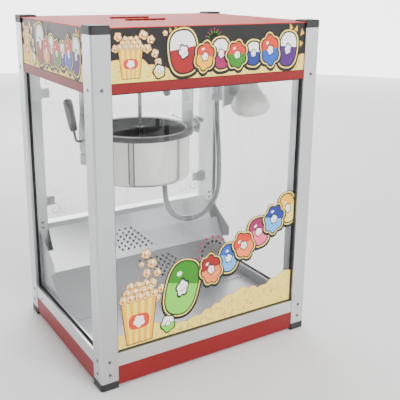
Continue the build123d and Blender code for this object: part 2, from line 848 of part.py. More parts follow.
# ---- sprung wire latch on the right hanger ----
with BuildPart() as hanger_latch:
    with BuildLine():
        FilletPolyline((latch_x, latch_y, latch_z), (latch_x, 31, 512), (latch_x, 95, 515), radius=30)
    wire_start = (0, 31 - latch_y, 512 - latch_z)
    with BuildSketch(Plane(origin=(latch_x, latch_y, latch_z), x_dir=(1, 0, 0), z_dir=wire_start)):
        Circle(latch_wire_radius)
    sweep()
    with Locations((latch_x, 95, 515)):
        Sphere(3)
    with Locations(Location((latch_x, latch_y, latch_z), (0, 90, 0))):
        Cylinder(latch_pin_radius + 2, 8)
        Cylinder(latch_pin_radius + running, 8, mode=Mode.SUBTRACT)

# ---- lamp, its holder and its shield ----
lamp_tilt = 8.0
lamp_axis = (-sin(radians(lamp_tilt)), 0, cos(radians(lamp_tilt)))
lamp_side = (cos(radians(lamp_tilt)), 0, sin(radians(lamp_tilt)))
lamp_plane = Plane(origin=(lamp_x, lamp_y, lamp_wide_z), x_dir=lamp_side, z_dir=(0, -1, 0))
lamp_base_radius = 13.0
with BuildPart() as lamp_bulb:
    with BuildSketch(lamp_plane):
        with BuildLine():
            Spline(
                (0, -28),
                (30, -22),
                (lamp_radius, 0),
                (38, 29),
                (lamp_neck + 1, 48),
                (lamp_neck, 57),
                tangents=((1, 0), (0, 1)),
            )
            Polyline(
                (lamp_neck, 57), (lamp_base_radius, 59), (lamp_base_radius, 78), (0, 78), (0, -28)
            )
        make_face()
    revolve(axis=Axis((lamp_x, lamp_y, lamp_wide_z), lamp_axis))

with BuildPart() as lamp_socket:
    socket_plane = Plane(origin=(lamp_x, lamp_y, lamp_wide_z), x_dir=(0, 1, 0), z_dir=lamp_axis).offset(60)
    with BuildSketch(socket_plane):
        Circle(socket_radius)
    extrude(amount=34)
    with BuildSketch(socket_plane):
        Circle(lamp_base_radius + 0.3)
    extrude(amount=19, mode=Mode.SUBTRACT)
    cut_block((lamp_x - 60, lamp_y - 60, floor_low), (lamp_x + 60, lamp_y + 60, height))

with BuildPart() as lamp_shield:
    with BuildSketch(Plane.XZ.offset(15)):
        outline([(162, 549), (240, 560), (240, floor_low), (162, floor_low)])
    extrude(amount=sheet)
    with BuildSketch(Plane.YZ.offset(162)):
        outline([(-15, 541), (-9, 548), (-9, floor_low), (-15, floor_low)])
    extrude(amount=sheet)
    block((162, -15, floor_low - sheet), (240, 0, floor_low))

# ---- conduit from the header to the kettle ----
with BuildPart() as conduit_socket:
    with BuildSketch(Plane.XY.offset(nut_low + nut_height)):
        with Locations((conduit_x, conduit_y)):
            Circle(chrome_radius)
    extrude(amount=floor_low - nut_low - nut_height)
    with BuildSketch(Plane.XY.offset(floor_low - 4)):
        with Locations((conduit_x, conduit_y)):
            Circle(chrome_radius + 5)
    extrude(amount=4)

with BuildPart() as conduit_nut:
    with BuildSketch(Plane.XY.offset(nut_low)):
        with Locations((conduit_x, conduit_y)):
            RegularPolygon(nut_radius, 6)
    extrude(amount=nut_height)

conduit_points = [Vector(*p) for p in conduit_route]
conduit_runs = [b - a for a, b in zip(conduit_points, conduit_points[1:])]
conduit_radii = []
for before, after in zip(conduit_runs, conduit_runs[1:]):
    turn = before.get_angle(after)
    shorter = min(before.length, after.length)
    conduit_radii.append(0.45 * shorter / tan(radians(turn / 2)))
print("conduit bend radii", [round(r, 1) for r in conduit_radii])
print("conduit runs", [round(r.length, 1) for r in conduit_runs])
with BuildPart() as kettle_conduit:
    with BuildLine():
        conduit_line = FilletPolyline(*conduit_route, radius=conduit_radii)
    with BuildSketch(Plane(origin=conduit_route[0], z_dir=(0, 0, -1))):
        Circle(conduit_radius)
    sweep()
section_volume = 3.14159265 * conduit_radius**2 * conduit_line.length
print("conduit length", round(conduit_line.length, 1))
print("conduit volume ratio", round(kettle_conduit.part.volume / section_volume, 4))

# ---- switches, mains inlet and terminals ----
rocker_y = sign_in_y - 6
panel_out_y = sign_in_y + sign_thick
rocker_profile = [(11, -11), (9.2, 0), (11, 11), (-3, 5), (-3, -5)]
tilt = radians(rocker_tilt)
rocker_points = [
    (rocker_y + y * cos(tilt) - z * sin(tilt), switch_z + y * sin(tilt) + z * cos(tilt))
    for y, z in rocker_profile
]
rocker_pin_radius = 1.5
with BuildPart() as switch_housings:
    for x in switch_xs:
        half_w = rocker_width / 2 + bezel_margin
        half_h = rocker_height / 2 + bezel_margin
        room_w = rocker_width / 2 + 0.5
        room_h = rocker_height / 2 + 2
        body_w = half_w - 1.5
        body_h = half_h - 1.5
        block((x - body_w, rocker_y - 20, switch_z - body_h), (x + body_w, panel_out_y, switch_z + body_h))
        bezel_y = panel_out_y + bezel_thick
        block((x - half_w, panel_out_y, switch_z - half_h), (x + half_w, bezel_y, switch_z + half_h))
        cut_block((x - room_w, rocker_y - 7, switch_z - room_h), (x + room_w, bezel_y, switch_z + room_h))
        with Locations(Location((x, rocker_y, switch_z), (0, 90, 0))):
            Cylinder(rocker_pin_radius, 2 * body_w)


def rocker(x):
    """One rocker, tilted to its off position, with a bore for its pin."""
    with BuildPart() as cap:
        with BuildSketch(Plane.YZ.offset(x)):
            outline(rocker_points)
            with Locations((rocker_y, switch_z)):
                Circle(rocker_pin_radius + running, mode=Mode.SUBTRACT)
        extrude(amount=rocker_width / 2, both=True)
    return cap


gland_steps = ((-14, 14, gland_hole - 0.2), (0, 2.5, gland_hole + 3), (-10, 6, gland_hole + 3))
with BuildPart() as power_inlet_gland:
    for start, length, radius in gland_steps:
        with BuildSketch(Plane.XZ.offset(-panel_out_y - start)):
            with Locations((gland_x, gland_z)):
                Circle(radius)
        extrude(amount=-length)
    with BuildSketch(Plane.XZ.offset(-panel_out_y - 3)):
        with Locations((gland_x, gland_z)):
            Circle(4)
    extrude(amount=17, mode=Mode.SUBTRACT)

with BuildPart() as terminal_block:
    block((60, 110, floor_high), (124, 134, floor_high + 6))
    for i in range(6):
        block((61 + 10.5 * i, 113, floor_high + 6), (69.5 + 10.5 * i, 131, floor_high + 20))

# ---- screws ----
head_radius = 3.6
head_high = 0.8
head_x = post_out_x + head_high / 2
head_y = post_out_y + head_high / 2
with BuildPart() as frame_screws:
    for x in (-1, 1):
        for z in (37.0, rail_high - 15, header_high - 10):
            for y in (-1, 1):
                with Locations(Location((x * (post_out_x - 20), y * head_y, z), (90, 0, 0))):
                    Cylinder(head_radius, head_high)
                with Locations(Location((x * head_x, y * (post_out_y - 20), z), (0, 90, 0))):
                    Cylinder(head_radius, head_high)
        with Locations(Location((x * (face_x + head_high / 2), 152, skirt_high + 6), (0, 90, 0))):
            Cylinder(head_radius, head_high)
        for z in (254.0, 240.0):
            with Locations(Location((x * (post_in_x + 14), post_in_y - 1.25, z), (90, 0, 0))):
                Cylinder(3.5, 2.5)
    with Locations(Location((plate_x + 1.5, 0, 567), (0, 90, 0))):
        Cylinder(6, 3)

pieces = dict(
    posts,
    foot_caps=foot_caps,
    top_caps=top_caps,
    bottom_rails=bottom_rails,
    header_rails=header_rails,
    base_skirt=base_skirt,
    base_pan=base_pan,
    roof_panel=roof_panel,
    sign_panels=sign_panels,
    control_panel=control_panel,
    header_floor=header_floor,
    glass_panes=glass_panes,
    glass_gaskets=glass_gaskets,
    door_sill=door_sill,
    back_panel=back_panel,
    serving_apron=serving_apron,
    side_cheeks=side_cheeks,
    deck_plate=deck_plate,
    kernel_drawer=kernel_drawer,
    door_left=door(-1),
    door_right=door(1),
    door_left_hinges=door_hinges(-1),
    door_right_hinges=door_hinges(1),
    door_left_knob=door_knob(-1),
    door_right_knob=door_knob(1),
    hinge_brackets=hinge_brackets,
    kettle_shell=kettle_shell,
    kettle_pot=kettle_pot,
    heating_element=heating_element,
    kettle_trunnions=kettle_trunnions,
    tip_lever=tip_lever,
    tip_grip=tip_grip,
    conduit_fitting=conduit_fitting,
    agitator=agitator,
    drive_shaft=drive_shaft,
    lift_yoke=lift_yoke,
    lift_lever=lift_lever,
    lift_grip=lift_grip,
    lever_bracket=lever_bracket,
    gearbox=gearbox,
    drive_motor=drive_motor,
    hanger_left=hanger_left,
    hanger_right=hanger_right,
    hanger_latch=hanger_latch,
    lamp_bulb=lamp_bulb,
    lamp_socket=lamp_socket,
    lamp_shield=lamp_shield,
    conduit_socket=conduit_socket,
    conduit_nut=conduit_nut,
    kettle_conduit=kettle_conduit,
    switch_housings=switch_housings,
    rocker_heater=rocker(switch_xs[0]),
    rocker_stirrer=rocker(switch_xs[1]),
    rocker_lamp=rocker(switch_xs[2]),
    power_inlet_gland=power_inlet_gland,
    terminal_block=terminal_block,
    frame_screws=frame_screws,
)
print(len(pieces), "nodes")

os.makedirs("parts", exist_ok=True)
for name, piece in pieces.items():
    piece.part.label = name
    export_step(piece.part, f"parts/{name}.step")
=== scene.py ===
# %% [markdown]
# # A table-top popcorn cabinet
#
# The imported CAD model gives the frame: every plate, rail and bracket stands where it belongs. This lesson
# adds what a camera sees: turned and swept metal, a flexible hose, a reflector lamp, the screen prints on
# the glass and the sign, and a finish for every surface. Meshes are in metres with +Z up, and most sizes
# are written in millimetres and multiplied by `mm` where they become points.

import json

import bmesh
import bpy
import numpy as np
from mathutils import Matrix, Vector

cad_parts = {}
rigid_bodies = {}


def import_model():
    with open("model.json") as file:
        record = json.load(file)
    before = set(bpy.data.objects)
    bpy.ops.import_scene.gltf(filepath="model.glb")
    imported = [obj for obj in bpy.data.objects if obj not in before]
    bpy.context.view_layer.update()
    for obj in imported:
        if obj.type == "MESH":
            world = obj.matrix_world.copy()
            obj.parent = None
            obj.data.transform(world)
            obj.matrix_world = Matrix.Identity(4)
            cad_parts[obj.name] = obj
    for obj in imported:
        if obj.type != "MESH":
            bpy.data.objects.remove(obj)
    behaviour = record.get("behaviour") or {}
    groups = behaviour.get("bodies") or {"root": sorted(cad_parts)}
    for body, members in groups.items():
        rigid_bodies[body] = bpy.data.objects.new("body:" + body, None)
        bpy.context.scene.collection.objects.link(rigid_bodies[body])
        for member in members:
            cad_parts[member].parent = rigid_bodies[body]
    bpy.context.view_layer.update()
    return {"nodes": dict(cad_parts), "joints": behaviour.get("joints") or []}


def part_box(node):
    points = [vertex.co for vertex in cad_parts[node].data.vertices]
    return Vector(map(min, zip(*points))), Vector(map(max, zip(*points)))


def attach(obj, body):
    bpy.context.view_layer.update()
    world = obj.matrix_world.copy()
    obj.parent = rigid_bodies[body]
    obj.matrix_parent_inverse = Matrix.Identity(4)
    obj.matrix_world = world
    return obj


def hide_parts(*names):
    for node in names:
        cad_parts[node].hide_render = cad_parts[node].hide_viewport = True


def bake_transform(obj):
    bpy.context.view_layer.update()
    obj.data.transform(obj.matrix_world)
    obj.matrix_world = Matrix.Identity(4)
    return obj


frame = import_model()
mm = 0.001
random = np.random.default_rng(7)

# %% [markdown]
# ## Places from the frame
#
# New pieces take their places from the CAD pieces they cover and from the joints they turn about, so that a
# change in the CAD model carries over. A box is its lowest and its highest corner.

# %%


def frame_box(node):
    """The lowest and the highest corner of a CAD piece in metres, rounded to a micrometre."""
    return np.round([list(corner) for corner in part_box(node)], 6)


joint_places = {joint["name"]: joint.get("pos_m") for joint in frame["joints"]}
print("kettle turns about", joint_places["kettle_tip"])
print("glass from", frame_box("glass_panes")[0].tolist(), "to", frame_box("glass_panes")[1].tolist())

# %% [markdown]
# ## Camera
#
# The camera stands to the left of the printed front and looks slightly down. It could be placed with a
# track constraint, but a rotation written out shows what it is made of: its columns are the camera's right,
# up and back. Heading and tilt set the direction it looks in, and a small roll turns it round that
# direction.

# %%
heading, tilt, roll = np.radians((32.30, 15.86, 0.66))
forward = np.array((np.sin(heading) * np.cos(tilt), np.cos(heading) * np.cos(tilt), -np.sin(tilt)))
level = np.array((np.cos(heading), -np.sin(heading), 0.0))
upright = np.cross(level, forward)
right = np.cos(roll) * level + np.sin(roll) * upright
up = np.cos(roll) * upright - np.sin(roll) * level

camera_place = (-0.7678, -1.3791, 0.8508)
camera_data = bpy.data.cameras.new("camera")
camera_data.lens = 59.88
camera_data.sensor_width = 36.0
camera_data.sensor_fit = "HORIZONTAL"
camera_data.shift_x = 0.0
camera_data.shift_y = -0.075
camera_data.dof.use_dof = False
camera = bpy.data.objects.new("camera", camera_data)
turn = Matrix(np.stack((right, up, -forward), axis=1).tolist()).to_4x4()
camera.matrix_world = Matrix.Translation(camera_place) @ turn
bpy.context.collection.objects.link(camera)
bpy.context.scene.camera = camera
print("camera at", [round(v, 3) for v in camera.location])

# %% [markdown]
# ## Tools for meshes
#
# A surface is a grid of points, a function of two parameters. The grid is worked out in numpy as whole
# arrays, and a face joins each point to its neighbours. The last column joins up with the first, so a seam
# is closed, and points that fall together, as at a pole, become one.

# %%
merge_distance = 1e-7
sharp_angle = np.radians(38)


def mesh_object(name, points, faces, material, smooth=True):
    """A mesh from points (n, 3) and faces. Points closer than 1e-7 m become one, and faces look outwards."""
    mesh = bpy.data.meshes.new(name)
    mesh.from_pydata(np.asarray(points, float).tolist(), [], [list(map(int, f)) for f in faces])
    edit = bmesh.new()
    edit.from_mesh(mesh)
    bmesh.ops.remove_doubles(edit, verts=edit.verts, dist=merge_distance)
    bmesh.ops.recalc_face_normals(edit, faces=edit.faces)
    edit.to_mesh(mesh)
    edit.free()
    mesh.materials.append(material)
    thing = bpy.data.objects.new(name, mesh)
    bpy.context.collection.objects.link(thing)
    if smooth:
        mesh.polygons.foreach_set("use_smooth", np.ones(len(mesh.polygons), bool))
        mesh.set_sharp_from_angle(angle=sharp_angle)
    return thing


def quads(rows, columns, start=0):
    """Faces of a grid of rows x columns points whose columns join up: corner k and its three neighbours."""
    i, j = np.meshgrid(np.arange(rows - 1), np.arange(columns), indexing="ij")
    after = (j + 1) % columns
    corners = (i * columns + j, i * columns + after, (i + 1) * columns + after, (i + 1) * columns + j)
    return start + np.stack(corners, axis=-1).reshape(-1, 4)


def axes_along(direction):
    """Two unit vectors square to a direction and to each other."""
    direction = np.asarray(direction, float) / np.linalg.norm(direction)
    helper = np.array((0.0, 0.0, 1.0)) if abs(direction[2]) < 0.9 else np.array((1.0, 0.0, 0.0))
    side = np.cross(helper, direction)
    side /= np.linalg.norm(side)
    return side, np.cross(direction, side), direction


print("faces of a 3 x 8 grid", len(quads(3, 8)))

# %% [markdown]
# ### Turned pieces
#
# The kettle, the grip and the lamp are round: each was spun or turned on a lathe. Blender's Screw modifier
# would do it, but a function of the profile and the angle keeps the piece a plain mesh. `rounded` first
# takes the corners off the profile, because spun sheet has no sharp ones.

# %%


def turned(profile, origin, axis, steps=96):
    """Points and faces of a turned solid: origin + r (cos t side + sin t other) + s axis, in metres."""
    side, other, along = axes_along(axis)
    radius, height = np.asarray(profile, float).T
    t = np.linspace(0, 2 * np.pi, steps, endpoint=False)
    ring = np.cos(t)[:, None] * side + np.sin(t)[:, None] * other
    points = np.asarray(origin) + radius[:, None, None] * ring + height[:, None, None] * along
    return points.reshape(-1, 3), quads(len(radius), steps)


def lathe(name, profile, origin, axis, material, steps=96):
    """A turned piece as its own object. A profile that starts and ends at r = 0 is a closed solid."""
    points, faces = turned(profile, origin, axis, steps)
    return mesh_object(name, points, faces, material)


def rounded(profile, radius, steps=5):
    """The profile with each inner corner replaced by an arc of about that radius, as a quadratic curve."""
    profile = np.asarray(profile, float)
    out = [profile[0]]
    t = np.linspace(0, 1, steps)[:, None]
    for before, corner, after in zip(profile[:-2], profile[1:-1], profile[2:]):
        a, b = before - corner, after - corner
        reach = min(radius, 0.45 * np.linalg.norm(a), 0.45 * np.linalg.norm(b))
        start = corner + a / np.linalg.norm(a) * reach
        end = corner + b / np.linalg.norm(b) * reach
        out.extend((1 - t) ** 2 * start + 2 * t * (1 - t) * corner + t**2 * end)
    out.append(profile[-1])
    return np.array(out)


print("points of a rounded corner", len(rounded([(0, 0), (1, 0), (1, 1)], 0.2)))

# %% [markdown]
# ### Swept pieces
#
# Rod and hose are a circle carried along a path. A bevelled curve would do for the rod, but the hose needs
# a radius that changes along the way, so both are swept here.

# %%


def sweep(name, path, radii, material, steps=32):
    """A tube with flat ends: path(s) + r(s) (cos t normal + sin t binormal). The normal is carried along the
    path and turns as little as it can."""
    path = np.asarray(path, float)
    tangent = np.gradient(path, axis=0)
    tangent /= np.linalg.norm(tangent, axis=1)[:, None]
    normals = [axes_along(tangent[0])[0]]
    for direction in tangent[1:]:
        carried = normals[-1] - direction * (normals[-1] @ direction)
        normals.append(carried / np.linalg.norm(carried))
    normal = np.array(normals)
    binormal = np.cross(tangent, normal)
    t = np.linspace(0, 2 * np.pi, steps, endpoint=False)
    ring = np.cos(t)[:, None] * normal[:, None] + np.sin(t)[:, None] * binormal[:, None]
    radii = np.broadcast_to(np.asarray(radii, float), len(path))
    points = (path[:, None] + radii[:, None, None] * ring).reshape(-1, 3)
    last = (len(path) - 1) * steps
    ends = [list(range(steps)), list(range(last, last + steps))]
    faces = [list(f) for f in quads(len(path), steps)] + ends
    return mesh_object(name, points, faces, material)


print("axes along Z", [v.round(1).tolist() for v in axes_along((0, 0, 1))])

# %% [markdown]
# ## Tools for finishes
#
# Colours are written as sRGB hex and turned to linear light. `finish` is one recipe for every surface:
# noise in object coordinates moves the colour and the roughness a little, a finer noise raises the skin by
# a few hundredths of a millimetre, and a bevel node rounds the edges of sheet and extrusion. One recipe
# with sizes in millimetres keeps the finishes comparable, and a brushed or drawn one only stretches the
# pattern.

# %%


def linear(code):
    """sRGB hex to linear: c / 12.92 below 0.04045, else ((c + 0.055) / 1.055) ** 2.4."""
    c = np.array([int(code[i : i + 2], 16) for i in (0, 2, 4)]) / 255
    return (*np.where(c < 0.04045, c / 12.92, ((c + 0.055) / 1.055) ** 2.4), 1.0)


def add(tree, kind, settings=None, links=None):
    """A shader node with its settings (an input's value or a property) and its incoming links."""
    made = tree.nodes.new(kind)
    for key, value in (settings or {}).items():
        if key in made.inputs:
            made.inputs[key].default_value = value
        else:
            setattr(made, key, value)
    for key, source in (links or {}).items():
        tree.links.new(source, made.inputs[key])
    return made


def finish(name, code, roughness, metallic=0.0, shade=0.10, spread=0.08, patch=40.0, grain=1.2, raised=0.01,
           stretch=(1, 1, 1), edge=0.4, **sockets):
    """A surface finish. patch and grain are the sizes of the slow and the fine pattern, raised is the height of
    the fine one and edge the rounding of edges, all in mm. stretch scales the pattern along X, Y and Z."""
    material = bpy.data.materials.new(name)
    material.use_nodes = True
    tree = material.node_tree
    shader = tree.nodes["Principled BSDF"]
    place = add(tree, "ShaderNodeTexCoord")
    pulled = add(tree, "ShaderNodeMapping", {"Scale": stretch}, {"Vector": place.outputs["Object"]})
    where = {"Vector": pulled.outputs[0]}
    slow = add(tree, "ShaderNodeTexNoise", {"Scale": 1 / (patch * mm), "Detail": 4.0}, where)
    fine = add(tree, "ShaderNodeTexNoise", {"Scale": 1 / (grain * mm), "Detail": 3.0}, where)
    colour = np.array(linear(code)[:3])
    ramp = add(tree, "ShaderNodeValToRGB", links={"Fac": slow.outputs[0]})
    ramp.color_ramp.elements[0].position = 0.25
    ramp.color_ramp.elements[1].position = 0.75
    ramp.color_ramp.elements[0].color = (*(colour * (1 - shade)), 1)
    ramp.color_ramp.elements[1].color = (*np.minimum(colour * (1 + shade), 1), 1)
    tree.links.new(ramp.outputs[0], shader.inputs["Base Color"])
    low, high = max(roughness - spread, 0.02), min(roughness + spread, 1.0)
    rough = add(tree, "ShaderNodeMapRange", {"To Min": low, "To Max": high}, {"Value": fine.outputs[0]})
    tree.links.new(rough.outputs[0], shader.inputs["Roughness"])
    corner = add(tree, "ShaderNodeBevel", {"Radius": edge * mm, "samples": 4})
    skin = add(tree, "ShaderNodeBump", {"Strength": 0.6, "Distance": raised * mm},
               {"Height": fine.outputs[0], "Normal": corner.outputs[0]})
    tree.links.new(skin.outputs[0], shader.inputs["Normal"])
    shader.inputs["Metallic"].default_value = metallic
    for key, value in sockets.items():
        shader.inputs[key.replace("_", " ")].default_value = value
    return material


print("mid grey in linear light", round(float(linear("808080")[0]), 3))

# %% [markdown]
# ## Metals
#
# Each finish is named for what it is on the real cabinet. Posts and rails are extruded aluminium, drawn
# through a die, so the fine pattern is pulled out along them. Sheet is rolled or brushed across. The kettle
# is polished until it mirrors the room, and its pot has a dark anodised lining that hardly reflects.

# %%
# extruded aluminium of posts and rails: drawn along its length, so a highlight stretches along the bar
aluminium = finish("satin_extruded_aluminium", "C9CBCE", 0.34, 1.0, 0.05, 0.07, 60, 0.5, 0.006, (1, 1, 0.04))
aluminium_rail = finish("satin_extruded_aluminium_rail", "D2D4D6", 0.32, 1.0, 0.05, 0.07, 60, 0.5, 0.006,
                        (0.05, 0.05, 1))
# bright rolled stainless of header floor and drawer: a soft mirror with faint lines from the rolls
stainless = finish("bright_rolled_stainless", "C8C8C6", 0.20, 1.0, 0.05, 0.06, 90, 0.8, 0.006, (0.08, 1, 1))
# satin stainless of apron, deck, back and hangers: brushed across, which spreads a highlight to a band
satin_sheet = finish("satin_brushed_stainless_sheet", "AEAFB2", 0.38, 0.9, 0.04, 0.06, 120, 0.6, 0.010,
                     (0.05, 1, 1))
# mirror polished stainless of kettle and lever: it shows the white room and its dark side almost sharp
mirror_steel = finish("mirror_polished_stainless", "D6D5D2", 0.07, 1.0, 0.03, 0.03, 60, 1.5, 0.004)
# ground steel of shafts, screws and latch: fine rings round the axis, darker than the sheet
ground_steel = finish("ground_steel_shaft", "6E6E70", 0.24, 1.0, 0.06, 0.08, 30, 0.3, 0.006, (1, 1, 8))
# bright chrome plate of the hose's socket and nut: small hard highlights
chrome = finish("bright_chrome_plate", "8F9093", 0.08, 1.0, 0.03, 0.03, 50, 1.5, 0.003)
# galvanised strip of the hose: the zinc makes each ring a little lighter or darker than the next
hose_steel = finish("galvanised_strip_hose", "85878B", 0.22, 1.0, 0.15, 0.10, 14, 0.5, 0.02)
# hard-anodised aluminium of the pot: nearly black and matt inside, rubbed smoother on the rim
lining = finish("hard_anodised_pot_lining", "171514", 0.62, 0.0, 0.15, 0.08, 30, 0.9, 0.02)
rim_coat = finish("hard_anodised_rim", "29292B", 0.42, 0.15, 0.10, 0.06, 30, 0.8, 0.015)
# oxidised steel sheath of the heating element: brown-grey, dull and blotched by heat
element = finish("oxidised_heater_sheath", "56504A", 0.45, 0.9, 0.20, 0.10, 15, 0.6, 0.02)
print("metals", len(bpy.data.materials))

# %% [markdown]
# ## Coatings, plastics and rubber
#
# These are not metals: light comes back from under their skin, with a weak reflection that the IOR sets.
# The powder coat is baked on in one thick layer, the caps are moulded, and the sign panels are printed on
# the back.

# %%
# red powder coat with a faint orange peel: glossier on skirt and rails than on the roof, whose lighter
# orange-red is painted light on the top face
powder_red = finish("gloss_red_powder_coat", "7C0005", 0.42, 0.0, 0.08, 0.05, 80, 1.6, 0.03, IOR=1.45)
roof_red_painted_light = finish("satin_red_roof_painted_light", "C8240C", 0.62, 0.0, 0.08, 0.06, 80, 1.6, 0.03, IOR=1.38)
# moulded glass-fibre nylon of caps and housings: a spark-eroded texture with a dull grey sheen
nylon = finish("black_moulded_nylon", "1A1A1D", 0.52, 0.0, 0.15, 0.08, 20, 0.7, 0.04, IOR=1.53, edge=0.8)
# back-printed black acrylic of sign and control panels: deep black under a smooth satin skin
sign_black = finish("satin_black_sign_panel", "030304", 0.38, 0.0, 0.15, 0.04, 90, 2.5, 0.006, IOR=1.49)
# pressed phenolic of grips and knobs: black, with the gloss of the polished mould
phenolic = finish("black_phenolic_grip", "141416", 0.30, 0.0, 0.12, 0.06, 20, 1.0, 0.015, IOR=1.6,
                  Coat_Weight=0.3)
# extruded EPDM rubber of the gaskets: a matt black line round each pane
gasket = finish("black_rubber_gasket", "101012", 0.62, 0.0, 0.15, 0.08, 20, 0.6, 0.04, IOR=1.52, edge=0.6)
# moulded red nylon of the rockers: glossy, with a small highlight on each
rocker_red = finish("gloss_red_rocker", "C01216", 0.22, 0.0, 0.06, 0.04, 15, 1.5, 0.01, IOR=1.53)
# glazed ceramic of the lamp holder: off-white under a glassy skin
ceramic = finish("glazed_white_ceramic", "E6E3DC", 0.24, 0.0, 0.05, 0.06, 25, 1.5, 0.02, IOR=1.5)
# frosted glass of the reflector lamp: an even pale white with a smooth skin
frosted = finish("frosted_reflector_glass", "DADAD8", 0.30, 0.0, 0.03, 0.06, 40, 0.6, 0.01, IOR=1.5,
                 Coat_Weight=0.4)
# stoved satin paint of the motor: dark grey, slightly uneven
motor_paint = finish("satin_dark_motor_paint", "2B2C30", 0.42, 0.0, 0.10, 0.08, 30, 1.0, 0.03, IOR=1.5)
# baked enamel of the pan under the deck, made black as painted shade so the drain holes look deep and dark
black_pan_painted_shade = finish("black_pan_painted_shade_enamel", "0C0C0D", 0.5, 0.0, 0.15, 0.08, 50, 1.2, 0.02, IOR=1.5)
print("finishes so far", len(bpy.data.materials))

# %% [markdown]
# ## Clear sheet
#
# The panes are tempered glass and the doors cast acrylic. Full refraction through a dozen thin walls makes
# a noisy, dark cabinet, so alpha lets most light straight through and the rest keeps the surface's
# reflection.

# %%
# float glass and cast acrylic: nearly clear, known by their reflection, the acrylic a little milkier
glass = finish("clear_tempered_glass", "F2FAF7", 0.03, 0.0, 0.01, 0.01, 200, 90.0, 0.0005, IOR=1.52,
               Transmission_Weight=1.0, Alpha=0.05, edge=0.5)
acrylic = finish("clear_cast_acrylic", "F4F8FA", 0.04, 0.0, 0.01, 0.01, 200, 90.0, 0.0005, IOR=1.49,
                 Transmission_Weight=1.0, Alpha=0.12, edge=0.5)
print("finishes", len(bpy.data.materials))

# %% [markdown]
# ## Finishes on the CAD pieces
#
# A CAD piece keeps its shape and its place, and only gets its finish. The list is kept by finish, so that a
# new one is tried on all its pieces at once.

# %%
wear = {
    aluminium: ["post_front_left", "post_front_right", "post_back_left", "post_back_right", "gearbox"],
    aluminium_rail: ["bottom_rails", "door_sill", "hinge_brackets", "door_left_hinges", "door_right_hinges"],
    powder_red: ["base_skirt", "header_rails"],
    # the roof's lighter red is painted light on the top face
    roof_red_painted_light: ["roof_panel"],
    nylon: ["top_caps", "foot_caps", "switch_housings", "power_inlet_gland", "terminal_block"],
    sign_black: ["sign_panels", "control_panel"],
    satin_sheet: ["serving_apron", "side_cheeks", "deck_plate", "back_panel", "hanger_left", "hanger_right",
                  "lamp_shield"],
    stainless: ["header_floor", "kernel_drawer"],
    # the pan is black as painted shade seen through the drain holes
    black_pan_painted_shade: ["base_pan"],
    mirror_steel: ["kettle_shell", "lever_bracket", "lift_lever", "kettle_trunnions"],
    ground_steel: ["lift_yoke", "frame_screws", "agitator", "drive_shaft", "tip_lever", "hanger_latch"],
    chrome: ["conduit_socket", "conduit_nut", "conduit_fitting"],
    phenolic: ["tip_grip", "lift_grip", "door_left_knob", "door_right_knob"],
    gasket: ["glass_gaskets"],
    rocker_red: ["rocker_heater", "rocker_stirrer", "rocker_lamp"],
    ceramic: ["lamp_socket"],
    motor_paint: ["drive_motor"],
    element: ["heating_element"],
    glass: ["glass_panes"],
    acrylic: ["door_left", "door_right"],
    lining: ["kettle_pot"],
    frosted: ["lamp_bulb"],
    hose_steel: ["kettle_conduit"],
}
for material, names in wear.items():
    for name in names:
        data = frame["nodes"][name].data
        data.materials.clear()
        data.materials.append(material)
dressed = {name for names in wear.values() for name in names}
print("pieces with a finish", len(dressed), "without one", sorted(set(frame["nodes"]) - dressed))

# %% [markdown]
# ## Hose
#
# The hose hangs from the chrome socket, swings under the kettle and screws into its base. It is wound from
# steel strip, so it has a ring every 3.4 mm. Its line is a spline through the corners of the CAD route.
# First the spline is traced to points, because the sweep needs a path.

# %%
# the corners of the hose's route in mm, from the socket under the header to the kettle's base
hose_route = [(172, 30, 558), (172, 30, 506), (180, 31, 440), (184, 32, 372), (183, 32, 307.4),
              (150.5, 31, 262.7), (98, 30, 245.6), (45.5, 28, 262.7), (14, 26, 307.4), (14, 26, 386)]
line_data = bpy.data.curves.new("hose_line", "CURVE")
line_data.dimensions = "3D"
spline = line_data.splines.new("NURBS")
spline.points.add(len(hose_route) - 1)
for point, place in zip(spline.points, hose_route):
    point.co = (*[v * mm for v in place], 1)
spline.order_u = 3
spline.use_endpoint_u = True
spline.resolution_u = 40
line = bpy.data.objects.new("hose_line", line_data)
bpy.context.collection.objects.link(line)
traced = bpy.data.meshes.new_from_object(line)
hose_line = np.empty(len(traced.vertices) * 3)
traced.vertices.foreach_get("co", hose_line)
hose_line = hose_line.reshape(-1, 3)
bpy.data.objects.remove(line)
bpy.data.meshes.remove(traced)
walked = np.concatenate([[0], np.cumsum(np.linalg.norm(np.diff(hose_line, axis=0), axis=1))])
hose_length = walked[-1]
print("hose length", round(hose_length, 4), "traced points", len(hose_line))

# %% [markdown]
# The skin is a wave along the line, with eight samples to a ring: r(s) = r - depth (1 + cos(2 pi s /
# pitch)).

# %%
ring_pitch = 3.4 * mm
ring_depth = 0.75 * mm
hose_outside = 7.5 * mm
samples = np.append(np.arange(0, hose_length, ring_pitch / 8), hose_length)
hose_path = np.stack([np.interp(samples, walked, hose_line[:, k]) for k in range(3)], axis=1)
hose_radius = hose_outside - ring_depth * (1 + np.cos(2 * np.pi * samples / ring_pitch))
hose = sweep("hose", hose_path, hose_radius, hose_steel, 28)
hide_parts("kettle_conduit")
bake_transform(hose)
print("hose faces", len(hose.data.polygons))

# %% [markdown]
# ## Kettle
#
# The shell is spun from polished sheet, and the pot inside it has a dark lining and a rolled rim. Both are
# turned about the kettle's upright axis, from profiles that run from the axis out and back along the other
# face, so each is a closed wall. Heights are counted from the pivot, the line through both trunnions.

# %%
kettle_middle = tuple(joint_places["kettle_tip"])
rim_inside, rim_foot = 108, 6


def kettle_piece(name, profile, material, node, body="kettle", steps=160):
    """A turned piece round the kettle's axis, from (radius, height over the pivot) pairs in mm."""
    piece = lathe(name, np.asarray(profile, float) * mm, kettle_middle, (0, 0, 1), material, steps)
    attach(piece, body)
    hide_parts(node)
    return piece


